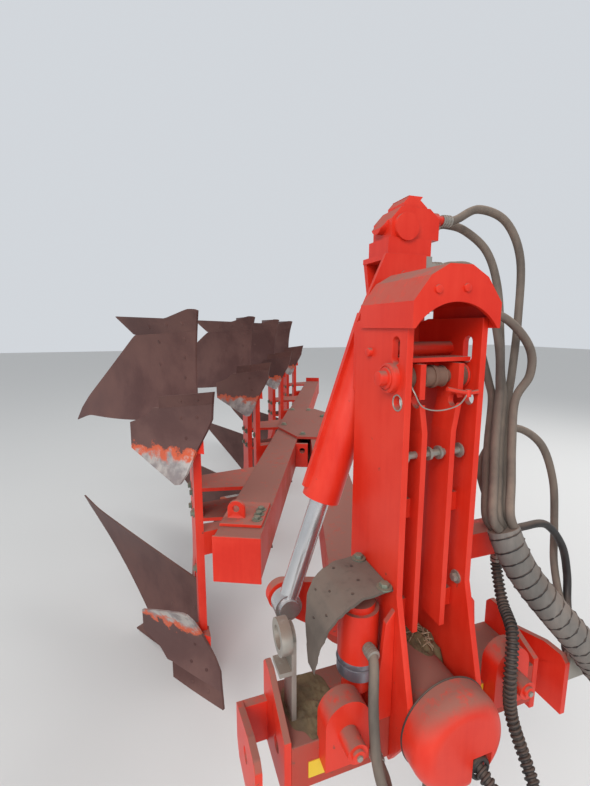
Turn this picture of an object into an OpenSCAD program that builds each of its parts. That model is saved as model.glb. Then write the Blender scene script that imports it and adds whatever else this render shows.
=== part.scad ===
// Reversible mouldboard plough, mounted on a three-point linkage, with four pairs of bodies.
// It is parked on its right-hand bodies and its parking stand.
// X is to the driver's left, Y runs backward from the lower-link pins, Z is up from the ground.

/* [Frame] */
// Height of the turnover axis, which is also the middle of the beam
axis_z = 850; // [830:5:880]
// Outer width of the square beam
beam_w = 160; // [140:5:180]
// Wall of the beam
beam_wall = 10; // [6:1:14]
// Length of the beam
beam_len = 4060; // [4000:10:4200]
// Angle between the beam and the direction of travel
beam_angle = 25; // [24:0.5:26]
// Length of beam beyond the three steps from body to body
beam_spare = 760; // [730:10:780]

/* [Bodies] */
// Width that one moldboard covers across the furrow
mold_w = 590; // [540:10:620]
// Height of the moldboard at its leading edge
shin_h = 450; // [420:10:480]
// Height of the moldboard at its tail
tail_h = 570; // [540:10:600]
// Thickness of shares and boards
board_t = 9; // [7:1:12]
// Width of the share across the furrow
share_w = 310; // [290:5:330]
// Depth of the hollow in the moldboard's face
hollow = 160; // [140:5:170]
// Thickness of a leg
leg_t = 30; // [24:1:36]
// Depth of a leg, front to back, beside the beam
leg_d = 160; // [130:5:180]
// Length of a landside
landside_len = 500; // [400:10:560]
// Height of a landside
landside_h = 100; // [80:5:110]

/* [Skimmers] */
// Height of the skimmer's edge above the ground
skim_z = 270; // [250:5:300]
// Height of a skimmer board
skim_h = 340; // [320:5:360]
// Width of a skimmer board
skim_w = 260; // [240:5:280]
// Width of the flat skimmer stem
stem_t = 28; // [20:1:34]
// Depth of the skimmer stem
stem_d = 68; // [55:1:80]

/* [Headstock] */
// Clear distance between the two mast plates
mast_gap = 150; // [140:2:170]
// Thickness of a mast plate
mast_t = 13; // [10:1:16]
// Height of the mast plates above the turnover axis
mast_h = 790; // [780:5:810]
// Depth of a mast plate, front to back
mast_d = 195; // [180:1:198]
// Radius of the turnover shaft
shaft_r = 45; // [40:1:46]
// Radial clearance of the turnover shaft in its housing
shaft_fit = 0.05; // [0.02:0.01:0.1]
// Radius of the dome on the front of the shaft housing
hub_r = 100; // [95:1:110]
// Height of a cross member
cross_h = 100; // [90:2:110]
// Depth of a cross member, front to back
cross_d = 155; // [140:1:160]
// Distance between the middles of the two lower-link seats
link_span = 683; // [670:1:700]
// Width of one lower-link seat
link_gap = 50; // [46:1:56]
// Diameter of the lower-link pin holes
link_bore = 28.8; // [28.2:0.1:32]
// Thickness of a lower-link plate
link_t = 14; // [10:1:18]
// Diameter of the hole for a lower top-link position
top_bore = 26; // [25.6:0.1:28]
// Clear distance between the inner top-link bars
top_gap = 54; // [50:1:60]

/* [Turnover cylinder] */
// Radius of the barrel
barrel_r = 46; // [40:1:48]
// Length of the barrel below its top pin
barrel_len = 550; // [520:5:555]
// Radius of the rod
rod_r = 24; // [18:1:26]
// Radius of the eye on the rod
eye_r = 34; // [30:1:36]
// Radius of the turnover cylinder's pins
pin_r = 16; // [12:1:18]

/* [Parking stand] */
// Width of the square stand tube
stand_w = 50; // [40:1:52]
// Wall of the stand tube
stand_wall = 5; // [3:0.5:6]
// Clearance of the stand in its sleeve
stand_fit = 0.1; // [0.05:0.05:0.5]
// Wall of the stand's sleeve
sleeve_wall = 6; // [4:0.5:7]
// Width of the stand's square foot
foot_w = 150; // [110:5:180]

/* [Hidden] */
$fn = 48;

paint = "orangered";
steel = "saddlebrown";
zinc = "silver";
rubber = "dimgray";

// Gap between curved faces that lie against each other
seat = 0.3;

// Beam: the middle of its front end, and the step to the next body
beam_x = -278;
beam_y = 600;
body_step = (beam_len - beam_spare)/3;
step_x = body_step*sin(beam_angle);
step_y = body_step*cos(beam_angle);
half_beam = beam_w/2;

// Bodies: the corner where the landside's outer face meets the share's nose
nose_x = -335;
nose_y = 950;
landside_t = 12;
landside_y = 125;
leg_right = -landside_t;
leg_left = leg_right - leg_t;
leg_front = 130;
leg_back = leg_front + leg_d;
toe_front = 240;
toe_back = 470;
toe_z = 50;

// Face of the moldboard: how far back it lies at a distance across and a height
plan_a = 1.35;
plan_b = 0.00045;
hollow_z = 320;
// Share: where its nose ends, where its edge levels off, and the height of that edge
point_w = 30;
edge_x = 140;
edge_z = 30;
seam_z = 85;
notch_x = 257;
notch_z = 108;
tail_low = 500;

// Skimmer: its nose in the body's frame, and the form of its face
skim_y = -350;
skim_a = 0.8;
skim_b = 0.0006;
skim_hollow = 70;
skim_edge_w = 170;
skim_edge_rise = 35;
skim_tail_low = 265;
skim_seam = 45;
stem_right = -37;
stem_y = skim_y + 140;
stem_end = 130;

// Headstock
mast_front = -60;
mast_back = mast_front + mast_d;
mast_out = mast_gap/2 + mast_t;
mast_top = axis_z + mast_h;
flare_z = axis_z + 260;
toe_y = -112;
toe_top = axis_z + 60;
cross_top = axis_z - 10;
cross_low = cross_top - cross_h;
cross_front = mast_front + 5;
cross_back = cross_front + cross_d;
housing_r = mast_gap/2 - seat;
housing_front = -118;
housing_back = 165;
link_in = link_span/2 - link_gap/2;
link_out = link_span/2 + link_gap/2;
link_z = axis_z - 55;
top_z = axis_z + 685;
top_y = -14;
low_hole_z = top_z - 44;
low_hole_y = -36;

// Turnover cylinder: its top pin, and the crank pin at rest
pivot_x = 33;
pivot_y = 195;
pivot_z = axis_z + 890;
bracket_up = 50;
crank_x = -232;
crank_z = axis_z + 105;
reach = sqrt(pow(pivot_x - crank_x, 2) + pow(pivot_z - crank_z, 2));
lean = atan2(pivot_x - crank_x, pivot_z - crank_z);
eye_t = 40;
crank_y = pivot_y + eye_t/2 + 10;
crank_t = 25;
crank_r = sqrt(crank_x*crank_x + pow(crank_z - axis_z, 2));
flange_t = 25;
flange_r = 120;
arm_w = beam_w;
arm_x = 620;
arm_y = 2050;

// Hoses: radius, and routes through round points. The first and last points set the ends' directions too
hose_r = 10;
sleeve_r = 34;
route_1 = [[149.6, 173, 1878], [160, 173, 1878], [172, 173, 1878], [196, 173, 1886], [255, 170, 1912],
    [335, 164, 1888], [378, 152, 1800], [372, 138, 1650], [348, 120, 1520], [329, 109, 1438],
    [290, 72, 1337], [256, 32, 1258], [216, -5, 1221], [219, -18, 1193]];
route_2 = [[149.6, 217, 1878], [160, 217, 1878], [172, 217, 1878], [198, 216, 1882], [250, 209, 1870],
    [310, 194, 1820], [334, 174, 1730], [326, 144, 1600], [312, 120, 1515], [306, 100, 1450],
    [268, 64, 1350], [232, 24, 1274], [192, -20, 1222], [199, -29, 1193.4]];
route_3 = [[120.6, 160, 1768], [131, 160, 1768], [143, 160, 1768], [176, 160, 1775], [232, 154, 1768],
    [280, 138, 1690], [294, 114, 1580], [286, 96, 1500], [283, 91, 1462], [246, 56, 1363], [211, 17, 1290],
    [166, -31, 1224], [178.3, -39.2, 1195.4]];
route_4 = [[120.6, 195, 1768], [131, 195, 1768], [143, 195, 1768], [172, 195, 1768], [222, 192, 1750],
    [258, 182, 1680], [284, 158, 1560], [294, 138, 1490], [294, 124, 1446], [256, 88, 1345],
    [219, 47, 1267], [181, 3, 1211], [189, -11, 1184.7]];
route_5 = [[120.6, 160, 1680], [131, 160, 1680], [143, 160, 1680], [176, 153, 1685], [222, 126, 1680],
    [292, 90, 1645], [350, 76, 1580], [356, 74, 1515], [318, 76, 1454], [280, 40, 1355], [245, 1, 1281],
    [205, -39, 1232], [209, -47, 1202]];
// Sleeve round the five hoses, down to their couplings
sleeve_route = [[200, -30, 1190], [208, -44, 1153], [232, -66, 1096], [280, -98, 1025],
    [335, -122, 956], [390, -128, 888], [425, -128, 845]];
// From the side valve down to the opening in the front cap
route_6 = [[262, 40, 1086.6], [262, 40, 1074], [262, 36, 1040], [240, -10, 985], [194, -82, 974],
    [160, -116, 900], [164, -124, 820], [166, -170, 745], [140, -240, 700], [84, -262, 710],
    [50, -226, 762], [38, -172, 796], [38, -119, 800]];
// Loop from the short cylinder to the left cross member
route_7 = [[-138, -42.8, 1000], [-138, -52, 1000], [-138, -62, 1000], [-147, -84, 984], [-160, -108, 930],
    [-162, -126, 850], [-156, -142, 800], [-140, -136, 772], [-128, -108, 764], [-126, -80, 768],
    [-126, -57, 772]];

// Two loops from the side valve to the coupling holder
route_8 = [[290.6, 45, 1130], [303, 45, 1130], [350, 48, 1132], [440, 58, 1118], [512, 62, 1045],
    [536, 56, 960], [520, 36, 896], [478, -4, 858], [430, -36, 840], [418, -52, 836], [418, -64, 836],
    [418, -75.3, 836]];
route_9 = [[240, 45, 1160.7], [240, 45, 1172], [240, 45, 1184], [240, 54, 1206], [262, 112, 1290],
    [350, 116, 1370], [440, 100, 1330], [500, 98, 1220], [532, 104, 1080], [530, 92, 975], [498, 40, 902],
    [463, -18, 877], [438, -50, 855], [438, -63, 855], [438, -75.3, 855]];

// Parking stand
stand_x = 200;
sleeve_w = stand_w + 2*stand_fit + 2*sleeve_wall;
sleeve_z = cross_top + 40;
sleeve_h = 190;
stand_y = cross_back + sleeve_w/2;
foot_t = 10;

function back_of(x, z) = plan_a*x + plan_b*x*x + hollow*(1 - pow((z - hollow_z)/hollow_z, 2));
function skim_back(x, z) = skim_a*x + skim_b*x*x
    + skim_hollow*(1 - pow((z - skim_h/2)/(skim_h/2), 2));
function mix(a, b, t) = a + (b - a)*t;
function beam_left(y) = beam_x + (y - beam_y)*tan(beam_angle) - half_beam/cos(beam_angle) - 0.1;

// Smooth curve through a route's points, and the tube's rings along it
function bend(p, i, t) = let (a = p[max(i - 1, 0)], b = p[i], c = p[i + 1], d = p[min(i + 2, len(p) - 1)])
    0.5*(2*b + (c - a)*t + (2*a - 5*b + 4*c - d)*t*t + (3*b - a - 3*c + d)*t*t*t);
function curve(p, steps) = [for (i = [0:len(p) - 2], j = [0:steps - 1]) bend(p, i, j/steps), p[len(p) - 1]];
function unit(v) = v/norm(v);
function turn_side(s, d) = unit(s - (s*d)*d);
function along(c, i) = unit(c[min(i + 1, len(c) - 1)] - c[max(i - 1, 0)]);
function sides(c, i = 0, s = [0.31, 0.55, 0.77]) = i == len(c) ? []
    : let (n = turn_side(s, along(c, i))) concat([n], sides(c, i + 1, n));

// Heights of the main body's outline at a distance x across
function mold_low(x) = x <= notch_x ? mix(seam_z, notch_z, x/notch_x)
    : mix(notch_z, tail_low, (x - notch_x)/(mold_w - notch_x));
function mold_high(x) = mix(shin_h, tail_h, x/mold_w) + 18*sin(180*x/mold_w);
function share_low(x) = x <= point_w ? 0 : x <= edge_x ? mix(0, edge_z, (x - point_w)/(edge_x - point_w)) : edge_z;
function share_high(x) = x <= notch_x ? mold_low(x) - seat
    : mix(notch_z, edge_z, (x - notch_x)/(share_w - notch_x));

// Heights of the skimmer's outline, from its own edge up
function skim_low(x) = x <= skim_edge_w ? skim_edge_rise*x/skim_edge_w
    : mix(skim_edge_rise, skim_tail_low, (x - skim_edge_w)/(skim_w - skim_edge_w));
function skim_mid(x) = skim_low(x) + skim_seam;
function skim_high(x) = mix(skim_h, skim_h - 40, x/skim_w);

// A curved sheet. Each column is [distance across, low edge, high edge]; kind 0 is a moldboard face, 1 a skimmer
module sheet(columns, rows, kind, gap, depth) {
    n = len(columns);
    across = [0.83, 0.555];
    face = [for (c = columns, j = [0:rows])
        let (z = mix(c[1], c[2], j/rows), y = kind == 0 ? back_of(c[0], z) : skim_back(c[0], z))
        [-c[0] + across[0]*gap, y + across[1]*gap, z]];
    shift = gap > 0 ? [0, depth, 0] : [across[0]*depth, across[1]*depth, 0];
    rear = [for (p = face) p + shift];
    m = rows + 1;
    total = n*m;
    front_faces = [for (i = [0:n - 2], j = [0:rows - 1])
        each [[i*m + j, i*m + j + 1, (i + 1)*m + j + 1], [i*m + j, (i + 1)*m + j + 1, (i + 1)*m + j]]];
    rear_faces = [for (f = front_faces) [f[2] + total, f[1] + total, f[0] + total]];
    low_faces = [for (i = [0:n - 2])
        each [[i*m, (i + 1)*m, (i + 1)*m + total], [i*m, (i + 1)*m + total, i*m + total]]];
    high_faces = [for (i = [0:n - 2])
        each [[i*m + rows, i*m + rows + total, (i + 1)*m + rows + total],
              [i*m + rows, (i + 1)*m + rows + total, (i + 1)*m + rows]]];
    last = (n - 1)*m;
    end_faces = [for (j = [0:rows - 1])
        each [[j, j + total, j + 1 + total], [j, j + 1 + total, j + 1],
              [last + j, last + j + 1, last + j + 1 + total], [last + j, last + j + 1 + total, last + j + total]]];
    all_faces = concat(front_faces, rear_faces, low_faces, high_faces, end_faces);
    polyhedron(points = concat(face, rear), faces = [for (f = all_faces) [f[2], f[1], f[0]]], convexity = 6);
}

// A plate cut from a side view: points are [y, z], and it grows along +X from x
module side_plate(x, t) {
    translate([x, 0, 0]) rotate([90, 0, 90]) linear_extrude(t) children();
}

// A plate cut from a front view: points are [x, z], and it grows along +Y from y
module front_plate(y, t) {
    translate([0, y + t, 0]) rotate([90, 0, 0]) linear_extrude(t) children();
}

module box(x1, x2, y1, y2, z1, z2) {
    translate([x1, y1, z1]) cube([x2 - x1, y2 - y1, z2 - z1]);
}

module rod_along_x(x1, x2, y, z, r) {
    translate([x1, y, z]) rotate([0, 90, 0]) cylinder(h = x2 - x1, r = r);
}

module rod_along_y(y1, y2, x, z, r) {
    translate([x, y2, z]) rotate([90, 0, 0]) cylinder(h = y2 - y1, r = r);
}

// A round tube swept along a route: one ring of corners at each point of its curve
module hose(route, r, steps, corners) {
    c = curve(route, steps);
    side = sides(c);
    m = corners;
    n = len(c);
    points = [for (i = [0:n - 1], k = [0:m - 1])
        let (d = along(c, i), b = cross(d, side[i])) c[i] + r*(cos(360*k/m)*side[i] + sin(360*k/m)*b)];
    walls = [for (i = [0:n - 2], k = [0:m - 1])
        each [[i*m + k, i*m + (k + 1)%m, (i + 1)*m + k], [i*m + (k + 1)%m, (i + 1)*m + (k + 1)%m, (i + 1)*m + k]]];
    ends = [for (k = [1:m - 2]) each [[0, k + 1, k], [(n - 1)*m, (n - 1)*m + k, (n - 1)*m + k + 1]]];
    all_faces = concat(walls, ends);
    polyhedron(points = points, faces = [for (f = all_faces) [f[2], f[1], f[0]]], convexity = 8);
}

// One on the right-hand side of the machine and its mirror on the left
module both_sides() {
    children();
    mirror([1, 0, 0]) children();
}

// A right-hand tool below the beam and its mirror above it
module both_hands() {
    children();
    translate([0, 0, 2*axis_z]) mirror([0, 0, 1]) children();
}

module at_body(k) {
    translate([nose_x + (k - 1)*step_x, nose_y + (k - 1)*step_y, 0]) children();
}

module along_beam() {
    translate([beam_x, beam_y, axis_z]) rotate([0, 0, -beam_angle]) children();
}

module mast_plates() {
    color(paint) both_sides() difference() {
        side_plate(mast_gap/2, mast_t) polygon([
            [mast_front, mast_top], [mast_front, flare_z], [toe_y, toe_top], [toe_y, axis_z - 20],
            [cross_front, cross_low - 10], [mast_back, cross_low - 10], [mast_back, mast_top],
            [mast_back - 30, mast_top + 8], [mast_front, mast_top + 8]]);
        // Slot above the top-link pin, the pin's own hole and the lower hole
        rod_along_x(0, mast_out + 1, top_y, top_z, 13);
        rod_along_x(0, mast_out + 1, low_hole_y, low_hole_z, top_bore/2);
        for (z = [top_z + 38, top_z + 66]) rod_along_x(0, mast_out + 1, top_y - 10, z, 12);
        box(0, mast_out + 1, top_y - 22, top_y + 2, top_z + 38, top_z + 66);
    }
}

module mast_ribs() {
    // Curved ribs between the mast plates and the cross members
    color(paint) both_sides() front_plate(mast_front + 2, 12) polygon([
        [mast_out, cross_top], [mast_out + 44, cross_top], [mast_out + 40, cross_top + 60],
        [mast_out + 28, cross_top + 130], [mast_out + 20, cross_top + 215], [mast_out, cross_top + 240]]);
}

module mast_hood() {
    roof = 98;
    color(paint) difference() {
        front_plate(mast_front - 22, mast_d - 8) polygon([
            [-mast_out - 6, mast_top - 12], [-mast_out - 6, mast_top + 34], [-60, mast_top + 78], [-24, mast_top + roof],
            [24, mast_top + roof], [60, mast_top + 78], [mast_out + 6, mast_top + 34], [mast_out + 6, mast_top - 12]]);
        // Hollow underneath, and the arched opening in its front
        front_plate(mast_front - 14, mast_d) polygon([
            [-mast_out, mast_top - 13], [-mast_out, mast_top + 31], [-57, mast_top + 71], [-22, mast_top + roof - 8],
            [22, mast_top + roof - 8], [57, mast_top + 71], [mast_out, mast_top + 31], [mast_out, mast_top - 13]]);
        rod_along_y(mast_front - 30, mast_front, 0, mast_top - 73, 107);
    }
}

module mast_inner_bars() {
    bar_t = 12;
    // Tube across the mast above the top-link pin
    color(paint) rod_along_x(-mast_gap/2, mast_gap/2, 30, top_z + 52, 14);
    color(paint) box(-mast_gap/2, mast_gap/2, -34, 16, top_z + 30, top_z + 38);
    color(paint) both_sides() difference() {
        union() {
            front_plate(mast_front + 12, 60) polygon([
                [top_gap/2, axis_z + 160], [top_gap/2 + bar_t, axis_z + 160], [top_gap/2 + bar_t, axis_z + 580],
                [top_gap/2 + bar_t + 10, axis_z + 640], [top_gap/2 + bar_t + 10, axis_z + 712],
                [top_gap/2 + 10, axis_z + 712], [top_gap/2 + 10, axis_z + 640], [top_gap/2, axis_z + 580]]);
            // Feet that carry the bars on the mast plates
            for (z = [axis_z + 180, axis_z + 400])
                box(top_gap/2 + bar_t, mast_gap/2, mast_front + 40, mast_front + 60, z, z + 40);
        }
        rod_along_x(0, mast_gap/2, top_y, top_z, 13);
        rod_along_x(0, mast_gap/2, low_hole_y, low_hole_z, top_bore/2);
    }
}

module top_link_pin() {
    color(zinc) {
        rod_along_x(-mast_out - 30, mast_out + 14, top_y, top_z, 12.7);
        rod_along_x(-mast_out - 12, -mast_out, top_y, top_z, 27);
        rod_along_x(mast_out, mast_out + 8, top_y, top_z, 22);
        // Bushes between the plates and the inner bars
        both_sides() rod_along_x(top_gap/2 + 23, mast_gap/2, top_y, top_z, 23);
        rod_along_x(-top_gap/2 + 1, top_gap/2 - 1, top_y, top_z, 20);
    }
}

module cylinder_bracket() {
    ear_t = 14;
    color(paint) difference() {
        union() {
            // Rear web of the mast, which rises into the front ear
            front_plate(mast_back, ear_t - 4) polygon([
                [-mast_out, mast_top - 150], [mast_out, mast_top - 150], [mast_out, mast_top],
                [pivot_x + 52, pivot_z + bracket_up], [pivot_x - 52, pivot_z + bracket_up], [-mast_out, mast_top]]);
            front_plate(pivot_y + eye_t/2 + 12, ear_t) polygon([
                [pivot_x - 40, pivot_z - 34], [pivot_x + 40, pivot_z - 34], [pivot_x + 52, pivot_z + bracket_up],
                [pivot_x - 52, pivot_z + bracket_up]]);
            box(pivot_x - 52, pivot_x + 52, mast_back, pivot_y + eye_t/2 + 12 + ear_t, pivot_z + bracket_up - 12, pivot_z + bracket_up);
        }
        rod_along_y(mast_back - 1, pivot_y + 60, pivot_x, pivot_z, pin_r + 0.05);
    }
}

module valve_block() {
    base = pivot_z + bracket_up;
    color(paint) {
        difference() {
            union() {
                box(-5, 108, pivot_y - 44, pivot_y + 44, base, base + 38);
                box(4, 130, pivot_y - 40, pivot_y + 40, base + 38, base + 106);
                box(38, 100, pivot_y - 34, pivot_y + 34, base + 106, base + 132);
                rod_along_y(pivot_y - 50, pivot_y + 50, 40, base + 62, 30);
                rod_along_x(-12, 60, pivot_y, base + 74, 24);
            }
            // Slanting corners of the casting
            translate([4, pivot_y - 60, base + 106]) rotate([0, -48, 0]) translate([-50, 0, -18]) cube([100, 120, 60]);
            translate([130, pivot_y - 60, base + 106]) rotate([0, 38, 0]) translate([-50, 0, -16]) cube([100, 120, 60]);
            translate([112, pivot_y - 60, base + 20]) rotate([0, 45, 0]) cube([40, 120, 12]);
        }
    }
    color(zinc) for (y = [pivot_y - 22, pivot_y + 22]) {
        rod_along_x(104, 149, y, base + 88, 11);
        rod_along_x(118, 134, y, base + 88, 15);
    }
}

module shaft_housing() {
    color(paint) difference() {
        rod_along_y(housing_front, housing_back, 0, axis_z, housing_r);
        rod_along_y(housing_front - 1, housing_back + 1, 0, axis_z, shaft_r + shaft_fit);
    }
}

module hub_cap() {
    length = 64;
    color(paint) translate([0, toe_y, axis_z]) rotate([90, 0, 0]) difference() {
        rotate_extrude($fn = 64) difference() {
            union() {
                square([hub_r, length - 34]);
                translate([0, length - 34]) square([hub_r - 34, 34]);
                translate([hub_r - 34, length - 34]) circle(34);
            }
            translate([-1, 6]) square([hub_r - 12, length - 20]);
            translate([-1, -1]) square([mast_gap/2 + 1, 20]);
            translate([-200, -100]) square([200, 400]);
            translate([-1, -100]) square([hub_r + 10, 100]);
        }
        // Opening for the hoses, low in the front
        translate([16, -hub_r, 10]) rotate([0, 0, 0]) cube([44, hub_r - 20, length]);
    }
}

module cross_members() {
    wall = 10;
    color(paint) both_sides() difference() {
        box(mast_out, link_in - link_t, cross_front, cross_back, cross_low, cross_top);
        box(mast_out + wall, link_in - link_t - wall, cross_front + wall, cross_back - wall,
            cross_low + wall, cross_top - wall);
    }
}

module link_plates() {
    color(paint) both_sides() difference() {
        union() {
            side_plate(link_in - link_t, link_t) polygon([
                [cross_front, cross_low - 20], [cross_back, cross_low - 20], [cross_back, cross_top + 62],
                [cross_back - 12, cross_top + 76], [cross_back - 40, cross_top + 76], [cross_front, cross_top + 14]]);
            side_plate(link_out, link_t) polygon([
                [cross_front - 30, cross_low - 30], [cross_back - 30, cross_low - 30], [cross_back - 10, cross_low],
                [cross_back - 10, cross_top - 12], [cross_front + 30, cross_top + 22], [cross_front - 16, cross_top + 22],
                [cross_front - 30, cross_top + 8]]);
            box(link_in, link_out, cross_back - 30, cross_back - 10, cross_low - 10, cross_top - 12);
        }
        rod_along_x(link_in - link_t - 1, link_out + link_t + 1, 0, link_z, link_bore/2);
    }
}

module stop_ears() {
    ear_x = 200;
    ear_r = 46;
    ear_front = cross_front - 32;
    ear_z = cross_top + 52;
    color(paint) both_sides() {
        difference() {
            union() {
                rod_along_y(ear_front, cross_front + 10, ear_x, ear_z, ear_r);
                box(ear_x - ear_r, ear_x + ear_r, ear_front, cross_front + 10, cross_top - 40, ear_z);
            }
            box(ear_x - ear_r - 1, ear_x + ear_r + 1, cross_front, cross_front + 11, cross_low, cross_top);
        }
        rod_along_y(ear_front - 40, ear_front, ear_x, ear_z - 22, 20);
    }
}

module short_cylinder() {
    x = -mast_out - 50;
    y = 0;
    base = cross_top;
    color(paint) {
        translate([x, y, base + 118]) cylinder(h = 108, r = 42);
        translate([x, y, base + 226]) cylinder(h = 14, r = 34);
        translate([x, y, base + 44]) cylinder(h = 38, r = 30);
        for (side = [-1, 1]) box(x + side*19 - 7, x + side*19 + 7, y - 20, y + 20, base, base + 44);
    }
    color(zinc) {
        translate([x, y, base + 82]) cylinder(h = 36, r = 39);
        rod_along_x(x - 34, x + 34, y, base + 18, 9);
    }
}

module rubber_flap() {
    // Section of the bent sheet, as its upper line from the mast outward: [x, z]
    hang_x = -link_in + link_t + 44.5;
    line = [[-mast_out, 268], [-mast_out - 60, 268], [hang_x + 55, 252], [hang_x + 20, 225],
        [hang_x + 2, 188], [hang_x, 135]];
    t = 8;
    color(rubber) front_plate(-50, 130) translate([0, axis_z])
        polygon(concat(line, [for (i = [len(line) - 1:-1:0]) line[i] - [i > 3 ? -t : 0, i > 3 ? 0 : t]]));
}

module catch_bracket() {
    x = -link_in + link_t + 22.5;
    z = cross_top + 180;
    color(zinc) {
        box(x - 5, x + 5, -5, 45, cross_top, z);
        rod_along_x(x - 5, x + 5, 20, z, 25);
        box(x - 30, x - 5, -5, 45, cross_top + 108, cross_top + 118);
        difference() {
            rod_along_x(x - 27, x - 5, 20, z, 36);
            rod_along_x(x - 28, x - 15, 20, z, 22);
        }
    }
}

module stand_sleeve() {
    inner = stand_w + 2*stand_fit;
    color(paint) difference() {
        translate([stand_x - sleeve_w/2, cross_back, sleeve_z - sleeve_h]) cube([sleeve_w, sleeve_w, sleeve_h]);
        translate([stand_x - inner/2, stand_y - inner/2, sleeve_z - sleeve_h - 1]) cube([inner, inner, sleeve_h + 2]);
    }
}

module parking_stand() {
    top = sleeve_z + 30;
    inner = stand_w - 2*stand_wall;
    color(steel) {
        difference() {
            translate([stand_x - stand_w/2, stand_y - stand_w/2, foot_t]) cube([stand_w, stand_w, top - foot_t]);
            translate([stand_x - inner/2, stand_y - inner/2, foot_t + 10]) cube([inner, inner, top]);
            for (z = [140:60:top - 300]) rod_along_x(stand_x - stand_w, stand_x + stand_w, stand_y, z, 9);
        }
        translate([stand_x - foot_w/2, stand_y - foot_w/2, 0]) cube([foot_w, foot_w, foot_t]);
    }
}

module at_pivot() {
    translate([pivot_x, pivot_y, pivot_z]) rotate([0, lean, 0]) children();
}

module turnover_barrel() {
    neck = 60;
    color(paint) at_pivot() difference() {
        union() {
            translate([0, 0, -barrel_len]) cylinder(h = barrel_len - neck, r = barrel_r);
            rod_along_y(-eye_t/2 - 8, eye_t/2 + 8, 0, 0, 33);
            translate([-26, -20, -neck]) cube([52, 40, neck]);
            translate([-barrel_r - 10, -7, -barrel_len + 20]) cube([20, 14, barrel_len - neck - 60]);
        }
        rod_along_y(-60, 60, 0, 0, pin_r + 0.05);
        translate([0, 0, -barrel_len - 1]) cylinder(h = barrel_len - neck - 20, r = rod_r + 0.05);
    }
    color(zinc) rod_along_y(mast_back - 6, pivot_y + 56, pivot_x, pivot_z, pin_r);
}

module turnover_rod() {
    color(zinc) at_pivot() {
        difference() {
            union() {
                translate([0, 0, -reach]) cylinder(h = reach - 320, r = rod_r);
                rod_along_y(-eye_t/2, eye_t/2, 0, -reach, eye_r);
            }
            rod_along_y(-60, 60, 0, -reach, pin_r + 0.05);
        }
        rod_along_y(-eye_t/2 - 8, eye_t/2, 0, -reach, pin_r);
        rod_along_y(-eye_t/2 - 8, -eye_t/2, 0, -reach, pin_r + 8);
    }
}

module turnover_shaft() {
    color(zinc) rod_along_y(housing_front + 6, crank_y + crank_t + 1, 0, axis_z, shaft_r);
}

module turnover_crank() {
    color(paint) difference() {
        hull() {
            rod_along_y(crank_y, crank_y + crank_t, 0, axis_z, 90);
            rod_along_y(crank_y, crank_y + crank_t, crank_x, crank_z, 38);
        }
        rod_along_y(crank_y - 1, crank_y + crank_t + 1, 0, axis_z, shaft_r);
    }
}

module turnover_head() {
    start = crank_y + crank_t;
    aim = atan2(arm_x, arm_y - start);
    arm_wall = 12;
    plate_t = 15;
    color(paint) {
        rod_along_y(start + 1, start + flange_t, 0, axis_z, flange_r);
        difference() {
            translate([0, start, axis_z - arm_w/2]) rotate([0, 0, -aim])
                translate([-arm_w/2, -arm_w, 0]) cube([arm_w, arm_w + arm_y/cos(aim), arm_w]);
            box(-500, 500, -500, start + flange_t - 1, 0, 2*axis_z);
            translate([0, start, axis_z - arm_w/2 + arm_wall]) rotate([0, 0, -aim])
                translate([-arm_w/2 + arm_wall, arm_w, 0])
                cube([arm_w - 2*arm_wall, arm_w + arm_y/cos(aim), arm_w - 2*arm_wall]);
            along_beam() box(-half_beam - 300, half_beam, 0, beam_len, -beam_w, beam_w);
        }
        // Plates that clamp the beam between the arm and the beam's far side
        for (z = [half_beam, -half_beam - plate_t]) along_beam() translate([0, 0, z])
            linear_extrude(plate_t) polygon([
                [-half_beam, 1500], [half_beam, 1250], [half_beam + 190, 1250], [half_beam + 210, 1950],
                [half_beam + 60, 2150], [-half_beam, 2150]]);
    }
}

module beam() {
    color(paint) along_beam() difference() {
        translate([-half_beam, 0, -half_beam]) cube([beam_w, beam_len, beam_w]);
        translate([-half_beam + beam_wall, -1, -half_beam + beam_wall])
            cube([beam_w - 2*beam_wall, beam_len + 2, beam_w - 2*beam_wall]);
    }
}

module beam_caps() {
    cap = beam_w + 8;
    color(paint) along_beam() {
        translate([-cap/2, -8, -cap/2]) cube([cap, 8, cap]);
        translate([-cap/2, beam_len, -cap/2]) cube([cap, 20, cap + 40]);
    }
}

module beam_fittings() {
    pad_t = 12;
    color(paint) along_beam() {
        difference() {
            translate([0, 0, half_beam]) linear_extrude(pad_t) polygon([
                [-half_beam, 70], [half_beam - 8, 70], [half_beam - 8, 260], [-half_beam, 260]]);
            for (y = [110, 150, 190]) translate([half_beam - 32, y, half_beam - 1]) cylinder(h = 20, r = 8);
        }
        difference() {
            translate([-30, 130, half_beam + pad_t]) rotate([90, 0, 0]) linear_extrude(16) union() {
                translate([0, 34]) circle(32);
                translate([-32, 0]) square([64, 34]);
            }
            translate([-30, 131, half_beam + pad_t + 36]) rotate([90, 0, 0]) cylinder(h = 20, r = 12);
        }
    }
}

module beam_lug() {
    lug_w = 74;
    color(paint) along_beam() difference() {
        union() {
            translate([half_beam, 1160, -half_beam + 6]) cube([lug_w, 20, beam_w - 12]);
            translate([half_beam, 1180, -10]) cube([50, 60, 20]);
        }
        translate([half_beam + 40, 1190, 30]) rotate([90, 0, 0]) cylinder(h = 40, r = 17);
    }
}

// Column tables: distances across at which a sheet is worked out
mold_xs = [9, 50, 100, 150, 205, notch_x, 310, 370, 430, 490, 545, mold_w];
share_xs = [9, point_w, 60, 100, edge_x, 200, notch_x, 285, share_w - 5];
frog_xs = [leg_t + 10, 50, 100, 150, 205, 235];
skim_xs = [6, 45, 90, 130, skim_edge_w, 200, 230, skim_w - 4];
skim_share_xs = [6, 45, 90, 130, skim_edge_w - 5];

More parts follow.
